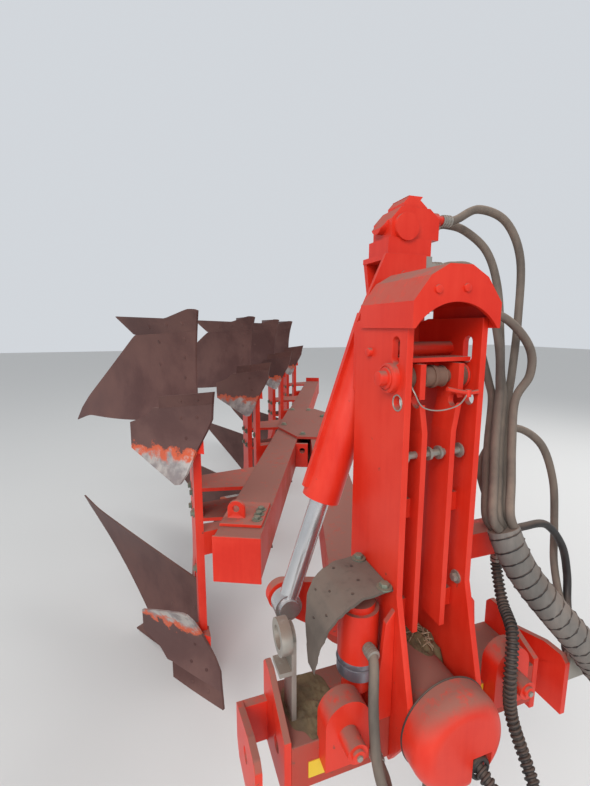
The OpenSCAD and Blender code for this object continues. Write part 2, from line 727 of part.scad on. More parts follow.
module moldboard() {
    sheet([for (x = mold_xs) [x, mold_low(x), mold_high(x)]], 7, 0, 0, board_t);
}

module share() {
    sheet([for (x = share_xs) [x, share_low(x), share_high(x)]], 2, 0, 0, board_t);
}

module skim_board() {
    translate([0, skim_y, skim_z])
        sheet([for (x = skim_xs) [x, x < skim_edge_w ? skim_mid(x) : min(skim_mid(x), skim_high(x) - 20),
            skim_high(x)]], 5, 1, 0, board_t);
}

module skim_share() {
    translate([0, skim_y, skim_z])
        sheet([for (x = skim_share_xs) [x, skim_low(x), skim_mid(x) - seat]], 2, 1, 0, board_t);
}

module leg_side() {
    polygon([[leg_front, axis_z], [leg_front, 640], [toe_front, 500], [toe_front, toe_z], [toe_back, toe_z],
        [toe_back - 30, 330], [leg_back + 30, 520], [leg_back, 640], [leg_back, axis_z]]);
}

module leg(k) {
    cheek_t = 16;
    color(paint) at_body(k) both_hands() {
        side_plate(leg_left, leg_t) leg_side();
        // Frog behind the share and the lower half of the moldboard
        sheet([for (x = frog_xs) [x, 40, mix(330, 230, x/230)]], 6, 0, board_t + 3*seat, 60);
    }
    // Cheeks that carry the leg on the side of the beam
    x0 = nose_x + (k - 1)*step_x + leg_right - 5;
    y0 = nose_y + (k - 1)*step_y + leg_front;
    color(paint) for (z = [axis_z - half_beam + 2, axis_z + half_beam - 2 - cheek_t])
        translate([0, 0, z]) linear_extrude(cheek_t) polygon([
            [x0, y0], [beam_left(y0 - 40), y0 - 40], [beam_left(y0 + leg_d + 40), y0 + leg_d + 40],
            [x0, y0 + leg_d]]);
}

module moldboards(k) {
    color(steel) at_body(k) both_hands() moldboard();
}

module shares(k) {
    color(steel) at_body(k) both_hands() {
        share();
        skim_share();
    }
}

module landsides(k) {
    color(steel) at_body(k) both_hands()
        box(-landside_t, 0, landside_y, landside_y + landside_len, 0, landside_h);
}

module skimmers(k) {
    color(steel) at_body(k) both_hands() skim_board();
}

module skimmer_stems() {
    color(paint) for (k = [1:4]) {
        at_body(k) {
            box(stem_right - stem_t, stem_right, stem_y, stem_y + stem_d, skim_z + stem_end,
                2*axis_z - skim_z - stem_end);
            both_hands() translate([0, skim_y, skim_z])
                sheet([for (x = [38, 45, 90, 115]) [x, 60, 230]], 5, 1, board_t + 3*seat, 60);
        }
        // Block between the stem and the side of the beam
        x0 = nose_x + (k - 1)*step_x + stem_right - 2;
        y0 = nose_y + (k - 1)*step_y + stem_y;
        translate([0, 0, axis_z - 45]) linear_extrude(90) polygon([
            [x0, y0], [beam_left(y0 + 10), y0 + 10], [beam_left(y0 + stem_d), y0 + stem_d], [x0, y0 + stem_d]]);
    }
}

module hose_fittings() {
    color(zinc) {
        // Plate on the right of the cylinder bracket, with three fittings
        box(pivot_x + 52, pivot_x + 75, 145, 211, pivot_z - 80, pivot_z + bracket_up);
        for (y = [160, 195]) rod_along_x(pivot_x + 75, 120, y, pivot_z + 28, 13);
        rod_along_x(pivot_x + 75, 120, 160, pivot_z - 60, 13);
    }
    color(steel) {
        // Holder and couplings at the lower end of the sleeve
        box(link_out + link_t, 455, -84, -76, 800, 870);
        box(395, 445, -93.7, -84, 845, 865);
        translate([425, -128, 845]) rotate([0, 140.9, 0])
            for (x = [-15, 15]) translate([x, 0, 0.5]) cylinder(h = 70, r = 12);
    }
}

module side_valve() {
    color(paint) box(mast_out, 290, 15, 75, 1100, 1160);
    color(zinc) translate([262, 40, 1088]) cylinder(h = 12, r = 13);
}

module hose_sleeve() {
    color(rubber) hose(sleeve_route, sleeve_r, 3, 12);
}

module one_hose(route) {
    color(rubber) hose(route, hose_r, 4, 8);
}

mast_plates();
mast_ribs();
mast_hood();
mast_inner_bars();
top_link_pin();
cylinder_bracket();
valve_block();
shaft_housing();
hub_cap();
cross_members();
link_plates();
stop_ears();
short_cylinder();
rubber_flap();
catch_bracket();
stand_sleeve();
parking_stand();
turnover_barrel();
turnover_rod();
turnover_shaft();
turnover_crank();
turnover_head();
beam();
beam_caps();
beam_fittings();
beam_lug();
skimmer_stems();
leg(1);  // leg_1
leg(2);  // leg_2
leg(3);  // leg_3
leg(4);  // leg_4
moldboards(1);  // moldboards_1
moldboards(2);  // moldboards_2
moldboards(3);  // moldboards_3
moldboards(4);  // moldboards_4
shares(1);  // shares_1
shares(2);  // shares_2
shares(3);  // shares_3
shares(4);  // shares_4
landsides(1);  // landsides_1
landsides(2);  // landsides_2
landsides(3);  // landsides_3
landsides(4);  // landsides_4
skimmers(1);  // skimmers_1
skimmers(2);  // skimmers_2
skimmers(3);  // skimmers_3
skimmers(4);  // skimmers_4
hose_fittings();
side_valve();
hose_sleeve();
one_hose(route_1);  // hose_1
one_hose(route_2);  // hose_2
one_hose(route_3);  // hose_3
one_hose(route_4);  // hose_4
one_hose(route_5);  // hose_5
one_hose(route_6);  // hose_6
one_hose(route_7);  // hose_7
one_hose(route_8);  // hose_8
one_hose(route_9);  // hose_9
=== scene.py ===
"""Looks of the reversible plough: worn red paint, rusty boards, bolts, hoses and small fittings."""
import math

import bmesh
import bpy
from mathutils import Matrix, Vector
from mathutils import noise as wobble


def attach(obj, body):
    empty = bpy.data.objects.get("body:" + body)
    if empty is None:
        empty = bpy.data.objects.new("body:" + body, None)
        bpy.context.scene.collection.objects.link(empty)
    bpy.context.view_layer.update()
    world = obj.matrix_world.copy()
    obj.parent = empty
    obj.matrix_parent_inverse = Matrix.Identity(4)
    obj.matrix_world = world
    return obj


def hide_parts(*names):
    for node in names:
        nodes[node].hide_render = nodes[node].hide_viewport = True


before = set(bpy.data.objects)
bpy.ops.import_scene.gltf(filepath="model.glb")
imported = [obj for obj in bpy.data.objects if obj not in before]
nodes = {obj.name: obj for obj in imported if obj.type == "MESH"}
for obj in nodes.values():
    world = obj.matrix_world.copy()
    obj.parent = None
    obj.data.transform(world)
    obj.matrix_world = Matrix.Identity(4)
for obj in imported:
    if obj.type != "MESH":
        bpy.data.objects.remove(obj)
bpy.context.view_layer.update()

# Directions for someone who stands in front of the mast and looks at it
LEFT = (-1, 0, 0)
RIGHT = (1, 0, 0)
FORWARD = (0, -1, 0)
REARWARD = (0, 1, 0)
UP = (0, 0, 1)

# Headstock, in metres in the part's frame
AXIS_Z = 0.85
MAST_OUT = 0.088
MAST_IN = 0.075
HOOD_FRONT = -0.082
TOP_LINK = Vector((0, -0.014, 1.535))
LOW_HOLE_Y = -0.036
LOW_HOLE_Z = 1.491
HUB_REAR = -0.1135
HUB_RADIUS = 0.1
HUB_OPENING = (0.038, -0.1705, 0.7962)
HOUSING_RADIUS = 0.0747
CROSS_FRONT = -0.055
CROSS_TOP = 0.84
STUB_X = 0.2
STUB_Z = 0.87
STUB_END = CROSS_FRONT - 0.072
SHORT_CYLINDER_X = -0.138

# Beam and where the bodies sit along it
BODY_COUNT = 4
BODY_STEP = 1.1
BEAM_FRONT = Vector((-0.278, 0.6, AXIS_Z))
BEAM_ANGLE = math.radians(25)
ALONG_BEAM = Vector((math.sin(BEAM_ANGLE), math.cos(BEAM_ANGLE), 0))
ACROSS_BEAM = Vector((math.cos(BEAM_ANGLE), -math.sin(BEAM_ANGLE), 0))
NOSE = Vector((-0.335, 0.95, 0))

# Main board, share and skimmer, as the part's source has them
MOLD_W = 0.59
SHIN_H = 0.45
TAIL_H = 0.57
BOARD_T = 0.009
HOLLOW = 0.16
HOLLOW_Z = 0.32
SEAM_Z = 0.085
SEAM_GAP = 0.0003
NOTCH = (0.257, 0.108)
TAIL_LOW = 0.5
SKIM_ORIGIN = Vector((0, -0.35, 0.27))
SKIM_H = 0.34
SKIM_HOLLOW = 0.07
SKIM_EDGE_W = 0.17
SKIM_RISE = 0.035
SKIM_SEAM = 0.045
SHEET_BACK = Vector((0.83, 0.555, 0))

# Pointed ends that only these boards have
TAIL_TIP = 0.622
TAIL_TIP_Z = 0.612
WING_W = 0.338
SKIM_TIP = 0.272


def mix(a, b, t):
    """The value at a share t of the way from a to b."""
    return a + (b - a) * t


# Materials

GLOSS = 0.3
RELIEF_DEPTH = 0.002
FIELD_DUST = (0.26, 0.165, 0.115)
RED_DUST = (0.29, 0.105, 0.078)
BOARD_DUST = (0.20, 0.115, 0.095)
RUST_COLOUR = (0.16, 0.055, 0.022)
ORANGE_RUST = (0.58, 0.10, 0.04)
PALE_STEEL = (0.46, 0.43, 0.40)
DULL_STEEL = (0.24, 0.22, 0.22)


def feed(tree, value, socket):
    """Sets a socket to a number or a colour, or links an output to it."""
    if isinstance(value, (int, float)):
        socket.default_value = value
    elif isinstance(value, tuple):
        socket.default_value = (*value, 1)
    else:
        tree.links.new(value, socket)


def noise(tree, coords, scale, detail, roughness):
    node = tree.nodes.new("ShaderNodeTexNoise")
    node.inputs["Detail"].default_value = detail
    node.inputs["Roughness"].default_value = roughness
    feed(tree, scale, node.inputs["Scale"])
    feed(tree, coords, node.inputs["Vector"])
    return node.outputs["Fac"]


def ramp(tree, value, low, high):
    """0 below low, 1 above high, smooth between."""
    node = tree.nodes.new("ShaderNodeMapRange")
    node.interpolation_type = "SMOOTHSTEP"
    feed(tree, value, node.inputs["Value"])
    feed(tree, low, node.inputs["From Min"])
    feed(tree, high, node.inputs["From Max"])
    return node.outputs["Result"]


def sums(tree, operation, a, b=0.0):
    """One step of arithmetic on numbers or outputs."""
    node = tree.nodes.new("ShaderNodeMath")
    node.operation = operation
    feed(tree, a, node.inputs[0])
    feed(tree, b, node.inputs[1])
    return node.outputs[0]


def blend_colour(tree, factor, under, over):
    """One colour laid over another, as far as factor says."""
    node = tree.nodes.new("ShaderNodeMix")
    node.data_type = "RGBA"
    feed(tree, factor, node.inputs[0])
    feed(tree, under, node.inputs[6])
    feed(tree, over, node.inputs[7])
    return node.outputs[2]


def make_weather_group():
    """Masks that the finishes share: dust that lies or clings, worn patches, tone and grain."""
    group = bpy.data.node_groups.new("field weather", "ShaderNodeTree")
    for way, labels in (("INPUT", ("Lying", "Film", "Wear", "Size", "Runs")),
                        ("OUTPUT", ("Dust", "Wear", "Tone", "Grain"))):
        for label in labels:
            group.interface.new_socket(label, in_out=way, socket_type="NodeSocketFloat")
    given = group.nodes.new("NodeGroupInput").outputs
    result = group.nodes.new("NodeGroupOutput").inputs
    place = group.nodes.new("ShaderNodeTexCoord")
    coords = place.outputs["Object"]
    looking = group.nodes.new("ShaderNodeSeparateXYZ")
    group.links.new(place.outputs["Normal"], looking.inputs[0])
    broad = noise(group, coords, sums(group, "MULTIPLY", given["Size"], 4.0), detail=5, roughness=0.6)
    fine = noise(group, coords, sums(group, "MULTIPLY", given["Size"], 34.0), detail=6, roughness=0.7)
    grain = noise(group, coords, sums(group, "MULTIPLY", given["Size"], 260.0), detail=3, roughness=0.7)
    # Rain runs down, so this noise is drawn out along the height
    tall = group.nodes.new("ShaderNodeMapping")
    tall.inputs["Scale"].default_value = (1.0, 1.0, 0.07)
    group.links.new(coords, tall.inputs["Vector"])
    runs = noise(group, tall.outputs[0], scale=60, detail=4, roughness=0.6)
    streaks = sums(group, "MULTIPLY", sums(group, "SUBTRACT", runs, broad), given["Runs"])
    spread = sums(group, "ADD", broad, streaks)
    upward = ramp(group, looking.outputs["Z"], 0.2, 0.9)
    lying = sums(group, "MULTIPLY", upward, ramp(group, fine, 0.18, 0.52))
    film = ramp(group, spread, 0.38, 0.7)
    dust = sums(group, "ADD", sums(group, "MULTIPLY", film, given["Film"]),
                sums(group, "MULTIPLY", lying, given["Lying"]))
    patches = sums(group, "ADD", sums(group, "MULTIPLY", broad, 0.45), sums(group, "MULTIPLY", fine, 0.55))
    threshold = sums(group, "SUBTRACT", 0.72, sums(group, "MULTIPLY", given["Wear"], 0.22))
    wear = ramp(group, patches, threshold, sums(group, "ADD", threshold, 0.04))
    feed(group, sums(group, "MINIMUM", dust, 1.0), result["Dust"])
    feed(group, wear, result["Wear"])
    feed(group, spread, result["Tone"])
    feed(group, grain, result["Grain"])
    return group


def scoured_ends(tree, base, start, width):
    """Bare pale steel with an orange edge, in a band that far above and below the turnover axis."""
    place = tree.nodes.new("ShaderNodeTexCoord")
    coords = place.outputs["Object"]
    parts = tree.nodes.new("ShaderNodeSeparateXYZ")
    tree.links.new(coords, parts.inputs[0])
    away = sums(tree, "ABSOLUTE", sums(tree, "SUBTRACT", parts.outputs["Z"], AXIS_Z))
    rough_edge = sums(tree, "MULTIPLY", noise(tree, coords, scale=22, detail=5, roughness=0.65), width * 1.1)
    inside = sums(tree, "SUBTRACT", start + width * 1.55, sums(tree, "ADD", away, rough_edge))
    specks = sums(tree, "MULTIPLY", noise(tree, coords, scale=30, detail=6, roughness=0.7), 0.09)
    near_edge = ramp(tree, sums(tree, "SUBTRACT", inside, specks), -0.03, 0.004)
    dull = ramp(tree, noise(tree, coords, scale=14, detail=5, roughness=0.6), 0.4, 0.62)
    patchy = blend_colour(tree, dull, PALE_STEEL, DULL_STEEL)
    scoured = blend_colour(tree, near_edge, ORANGE_RUST, patchy)
    return blend_colour(tree, ramp(tree, inside, 0.0, 0.012), base, scoured)


WEATHER = make_weather_group()


def finish(name, dark, light, worn, lying, film, wear, rough, metal=0.0, size=1.0, bump=0.15,
           dust=FIELD_DUST, runs=0.25, ends=None):
    """A weathered finish: its own colour from dark to light, worn patches in it and dust over it.

    lying and film give how much dust lies on top and clings elsewhere, wear how much of it is worn, size
    how fine the pattern is, and runs how far rain has drawn it out. ends gives the scoured band on the
    skimmer boards, as its distance from the turnover axis and its width."""
    material = bpy.data.materials.new(name)
    material.use_nodes = True
    tree = material.node_tree
    shader = tree.nodes["Principled BSDF"].inputs
    weather = tree.nodes.new("ShaderNodeGroup")
    weather.node_tree = WEATHER
    for label, amount in (("Lying", lying), ("Film", film), ("Wear", wear), ("Size", size), ("Runs", runs)):
        weather.inputs[label].default_value = amount
    masks = weather.outputs
    base = blend_colour(tree, ramp(tree, masks["Tone"], 0.32, 0.68), dark, light)
    base = blend_colour(tree, masks["Wear"], base, worn)
    if ends:
        base = scoured_ends(tree, base, *ends)
    tree.links.new(blend_colour(tree, masks["Dust"], base, dust), shader["Base Color"])
    dulled = sums(tree, "MULTIPLY", ramp(tree, masks["Dust"], 0.0, 0.6), 0.9 - rough)
    tree.links.new(sums(tree, "ADD", dulled, rough), shader["Roughness"])
    shader["Metallic"].default_value = metal
    shader["Specular IOR Level"].default_value = GLOSS
    height = sums(tree, "ADD", sums(tree, "MULTIPLY", masks["Grain"], 0.4),
                  sums(tree, "MULTIPLY", masks["Wear"], -0.6))
    relief = tree.nodes.new("ShaderNodeBump")
    relief.inputs["Strength"].default_value = bump
    relief.inputs["Distance"].default_value = RELIEF_DEPTH
    tree.links.new(height, relief.inputs["Height"])
    tree.links.new(relief.outputs["Normal"], shader["Normal"])
    return material


RED_PAINT = finish(
    "faded red paint", dark=(0.58, 0.019, 0.007), light=(0.74, 0.033, 0.012), worn=(0.24, 0.045, 0.028),
    lying=0.95, film=0.15, wear=0.5, rough=0.38, dust=RED_DUST)
# A darker copy of the red paint. Its heavy film of dust is real, but its darker red colour is painted shade
SHADED_DUSTY_RED = finish(
    "dusty red paint with painted shade", dark=(0.38, 0.028, 0.016), light=(0.54, 0.042, 0.022), worn=(0.19, 0.05, 0.034),
    lying=0.97, film=0.6, wear=0.6, rough=0.5, dust=(0.24, 0.095, 0.072))
BOARD_RUST = finish(
    "rusty board", dark=(0.082, 0.033, 0.029), light=(0.118, 0.050, 0.043), worn=(0.14, 0.066, 0.055),
    lying=0.35, film=0.3, wear=0.3, rough=0.5, metal=0.15, size=0.8, bump=0.2, dust=BOARD_DUST, runs=0.05)
SKIMMER_RUST = finish(
    "rusty skimmer board", dark=(0.095, 0.045, 0.041), light=(0.135, 0.066, 0.058), worn=(0.15, 0.078, 0.066),
    lying=0.4, film=0.35, wear=0.4, rough=0.5, metal=0.15, size=0.9, bump=0.2, dust=BOARD_DUST, runs=0.05,
    ends=(0.235, 0.125))
SHARE_STEEL = finish(
    "worn share steel", dark=(0.078, 0.033, 0.029), light=(0.115, 0.050, 0.043), worn=(0.14, 0.068, 0.057),
    lying=0.35, film=0.3, wear=0.35, rough=0.48, metal=0.2, bump=0.25, dust=BOARD_DUST, runs=0.05)
ZINC = finish(
    "dull zinc", dark=(0.26, 0.24, 0.21), light=(0.42, 0.40, 0.36), worn=(0.18, 0.10, 0.06),
    lying=0.5, film=0.25, wear=0.35, rough=0.35, metal=0.6)
ROLLER_STEEL = finish(
    "dusty roller steel", dark=(0.13, 0.07, 0.05), light=(0.25, 0.145, 0.105), worn=(0.10, 0.05, 0.035),
    lying=0.6, film=0.4, wear=0.6, rough=0.5, metal=0.3, dust=(0.22, 0.14, 0.105), runs=0.0)
STAND_GREY = finish(
    "bare stand steel", dark=(0.12, 0.09, 0.07), light=(0.20, 0.15, 0.12), worn=RUST_COLOUR,
    lying=0.5, film=0.3, wear=0.6, rough=0.6, metal=0.3)
CHROME_ROD = finish(
    "dull rod chrome", dark=(0.52, 0.52, 0.53), light=(0.74, 0.74, 0.75), worn=(0.16, 0.11, 0.08),
    lying=0.3, film=0.15, wear=0.2, rough=0.24, metal=0.85, bump=0.04)
HOSE_RUBBER = finish(
    "dusty hose rubber", dark=(0.075, 0.062, 0.052), light=(0.15, 0.124, 0.102), worn=(0.04, 0.034, 0.03),
    lying=0.6, film=0.5, wear=0.3, rough=0.7, dust=(0.24, 0.18, 0.14))
BLACK_HOSE = finish(
    "black wrapped hose", dark=(0.012, 0.012, 0.013), light=(0.03, 0.03, 0.031), worn=(0.01, 0.01, 0.01),
    lying=0.25, film=0.2, wear=0.3, rough=0.45)
SLEEVE_GREY = finish(
    "grey hose sleeve", dark=(0.12, 0.11, 0.10), light=(0.24, 0.22, 0.20), worn=(0.06, 0.05, 0.045),
    lying=0.5, film=0.3, wear=0.4, rough=0.75)
FLAP_RUBBER = finish(
    "dusty rubber flap", dark=(0.055, 0.045, 0.038), light=(0.125, 0.10, 0.084), worn=(0.04, 0.034, 0.03),
    lying=0.75, film=0.4, wear=0.5, rough=0.85, dust=(0.165, 0.125, 0.10), runs=0.05)
YELLOW_PLATE = finish(
    "blank yellow plate", dark=(0.68, 0.42, 0.015), light=(0.80, 0.54, 0.03), worn=(0.35, 0.25, 0.1),
    lying=0.2, film=0.1, wear=0.15, rough=0.4)
GREEN_BOLT = finish(
    "grey-green bolt", dark=(0.11, 0.14, 0.11), light=(0.22, 0.26, 0.20), worn=RUST_COLOUR,
    lying=0.5, film=0.25, wear=0.35, rough=0.45, metal=0.4)
BAND_STEEL = finish(
    "blue-grey steel band", dark=(0.13, 0.14, 0.18), light=(0.28, 0.29, 0.33), worn=(0.2, 0.12, 0.09),
    lying=0.3, film=0.2, wear=0.2, rough=0.3, metal=0.7)
MOSS = finish(
    "mossy debris", dark=(0.055, 0.045, 0.025), light=(0.16, 0.13, 0.055), worn=(0.03, 0.025, 0.02),
    lying=0.2, film=0.2, wear=0.6, rough=0.95, size=3.0, bump=0.9)
STRAW = finish(
    "dry straw", dark=(0.30, 0.24, 0.15), light=(0.48, 0.40, 0.27), worn=(0.2, 0.15, 0.1),
    lying=0.2, film=0.3, wear=0.3, rough=0.9)


# Making pieces

SMOOTH_ANGLE = math.radians(35)
WASHER_T = 0.003
# Bolts, as radius and height of the head and radius of the washer
THIN_BOLT = (0.009, 0.008, 0.014)
FLAP_BOLT = (0.010, 0.008, 0.0155)
PLATE_BOLT = (0.011, 0.009, 0.017)
PAD_BOLT = (0.0125, 0.011, 0.019)
LEG_BOLT = (0.013, 0.011, 0.02)
HEAD_BOLT = (0.014, 0.012, 0.021)


def add_piece(name, bm, material, body):
    """Turns a finished bmesh into a piece that rides on a body."""
    bmesh.ops.recalc_face_normals(bm, faces=bm.faces)
    for edge in bm.edges:
        if len(edge.link_faces) == 2:
            edge.smooth = edge.calc_face_angle(0) < SMOOTH_ANGLE
    for face in bm.faces:
        face.smooth = True
    mesh = bpy.data.meshes.new(name)
    bm.to_mesh(mesh)
    bm.free()
    mesh.materials.append(material)
    piece = bpy.data.objects.new(name, mesh)
    bpy.context.scene.collection.objects.link(piece)
    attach(piece, body)
    return piece


def facing(axis, centre):
    """A matrix that lays +Z along axis at centre."""
    return Matrix.Translation(centre) @ Vector(axis).to_track_quat("Z", "Y").to_matrix().to_4x4()


def edges_within(verts):
    """The edges that have both their ends among verts."""
    return [e for e in {e for v in verts for e in v.link_edges} if all(v in verts for v in e.verts)]


def add_disc(bm, centre, axis, radius, height, sides=24, bevel=0.0):
    """A cylinder that stands on centre and grows along axis, with its far rim bevelled."""
    way = Vector(axis).normalized()
    middle = Vector(centre) + way * height / 2
    made = bmesh.ops.create_cone(bm, cap_ends=True, segments=sides, radius1=radius, radius2=radius,
                                 depth=height, matrix=facing(axis, middle))
    if bevel:
        rim = edges_within([v for v in made["verts"] if (v.co - middle).dot(way) > 0])
        bmesh.ops.bevel(bm, geom=rim, offset=bevel, segments=2, affect="EDGES", profile=0.5, material=-1)


def add_bolt(bm, centre, axis, radius, height, washer=0.0):
    """A hexagon head, on a washer if its radius is given."""
    centre = Vector(centre)
    if washer:
        add_disc(bm, centre, axis, washer, WASHER_T)
        centre = centre + Vector(axis).normalized() * WASHER_T
    add_disc(bm, centre, axis, radius, height, 6, bevel=radius * 0.15)


def add_block(bm, low, high):
    """A box between two corners."""
    low, high = Vector(low), Vector(high)
    matrix = Matrix.Translation((low + high) / 2) @ Matrix.Diagonal((*(high - low), 1))
    bmesh.ops.create_cube(bm, size=1.0, matrix=matrix)


def add_tube(bm, points, radius, sides):
    """A round bar through points, with its ends closed."""
    rings = []
    for index, point in enumerate(points):
        ahead = Vector(points[min(index + 1, len(points) - 1)]) - Vector(points[max(index - 1, 0)])
        ring = bmesh.ops.create_circle(bm, segments=sides, radius=radius, matrix=facing(ahead, Vector(point)))
        rings.append(ring["verts"])
    for first, second in zip(rings, rings[1:]):
        bmesh.ops.bridge_loops(bm, edges=edges_within(first) + edges_within(second))
    for ring in (rings[0], rings[-1]):
        bmesh.ops.contextual_create(bm, geom=edges_within(ring))


def add_ring(bm, centre, axis, radius, thick, sides=40):
    """A round bar bent to a closed ring."""
    upright = Matrix.Translation((radius, 0, 0)) @ Matrix.Rotation(math.pi / 2, 4, "X")
    start = bmesh.ops.create_circle(bm, segments=8, radius=thick, matrix=upright)["verts"]
    before = set(bm.verts) - set(start)
    bmesh.ops.spin(bm, geom=start + edges_within(start), cent=(0, 0, 0), axis=UP, angle=2 * math.pi,
                   steps=sides, use_merge=True, use_duplicate=False)
    bmesh.ops.remove_doubles(bm, verts=[v for v in bm.verts if v not in before], dist=0.00001)
    made = [v for v in bm.verts if v not in before]
    bmesh.ops.transform(bm, matrix=facing(axis, Vector(centre)), verts=made)


def soften(name, width=0.002):
    """Joins a CAD node's loose triangles and rounds its edges a little."""
    node = nodes[name]
    weld = node.modifiers.new("join", "WELD")
    weld.merge_threshold = 0.00005
    round_off = node.modifiers.new("edges", "BEVEL")
    round_off.width = width
    round_off.segments = 2
    round_off.limit_method = "ANGLE"
    round_off.angle_limit = math.radians(32)


def paint(name, material):
    """Gives a CAD node its finish."""
    node = nodes[name]
    node.data.materials.clear()
    node.data.materials.append(material)


# Camera, floor and light

PHOTO_HEIGHT = 786
FOCAL_PIXELS = 410
SENSOR = 36
CAMERA_PLACE = Vector((-0.511, -0.681, 1.63))
CAMERA_YAW = math.radians(19)
CAMERA_DOWN = math.radians(9.14)
MACHINE_MIDDLE = Vector((0.2, 1.5, 0.8))

camera_data = bpy.data.cameras.new("camera")
camera_data.lens = FOCAL_PIXELS / PHOTO_HEIGHT * SENSOR
camera_data.sensor_width = SENSOR
camera_data.clip_start = 0.02
camera = bpy.data.objects.new("camera", camera_data)
camera.location = CAMERA_PLACE
camera.rotation_euler = (math.pi / 2 - CAMERA_DOWN, 0, -CAMERA_YAW)
bpy.context.scene.collection.objects.link(camera)
bpy.context.scene.camera = camera

floor_mesh = bpy.data.meshes.new("floor")
floor_bm = bmesh.new()
bmesh.ops.create_grid(floor_bm, x_segments=1, y_segments=1, size=30)
floor_bm.to_mesh(floor_mesh)
floor_bm.free()
floor = bpy.data.objects.new("floor", floor_mesh)
bpy.context.scene.collection.objects.link(floor)
floor_material = bpy.data.materials.new("pale floor")
floor_material.use_nodes = True
floor_shader = floor_material.node_tree.nodes["Principled BSDF"]
floor_shader.inputs["Base Color"].default_value = (0.62, 0.61, 0.59, 1)
floor_shader.inputs["Roughness"].default_value = 0.9
floor_mesh.materials.append(floor_material)

world = bpy.data.worlds.new("soft studio")
world.use_nodes = True
sky = world.node_tree.nodes["Background"].inputs
sky["Color"].default_value = (0.86, 0.90, 0.95, 1)
sky["Strength"].default_value = 0.75
bpy.context.scene.world = world


def add_lamp(name, place, target, width, power):
    data = bpy.data.lights.new(name, "AREA")
    data.shape = "SQUARE"
    data.size = width
    data.energy = power
    lamp = bpy.data.objects.new(name, data)
    lamp.location = place
    lamp.rotation_euler = (Vector(target) - Vector(place)).to_track_quat("-Z", "Y").to_euler()
    bpy.context.scene.collection.objects.link(lamp)


add_lamp("key", place=(-4.5, -4.0, 6.0), target=MACHINE_MIDDLE, width=4.0, power=390)
add_lamp("fill", place=(5.0, 2.0, 5.0), target=MACHINE_MIDDLE, width=4.0, power=180)
add_lamp("front", place=(-1.2, -5.0, 2.6), target=(0.0, 0.0, 1.2), width=3.0, power=50)
bpy.context.scene.view_settings.view_transform = "Standard"


# Hoses and their sleeve

HOSE_RADIUS = 0.01
SLEEVE_RADIUS = 0.034
SLEEVED_HOSES = 5
CAP_HOSE = 6
BLACK_HOSES = (CAP_HOSE, 8)
LINE_STEPS = 8
TURN_POINTS = 10
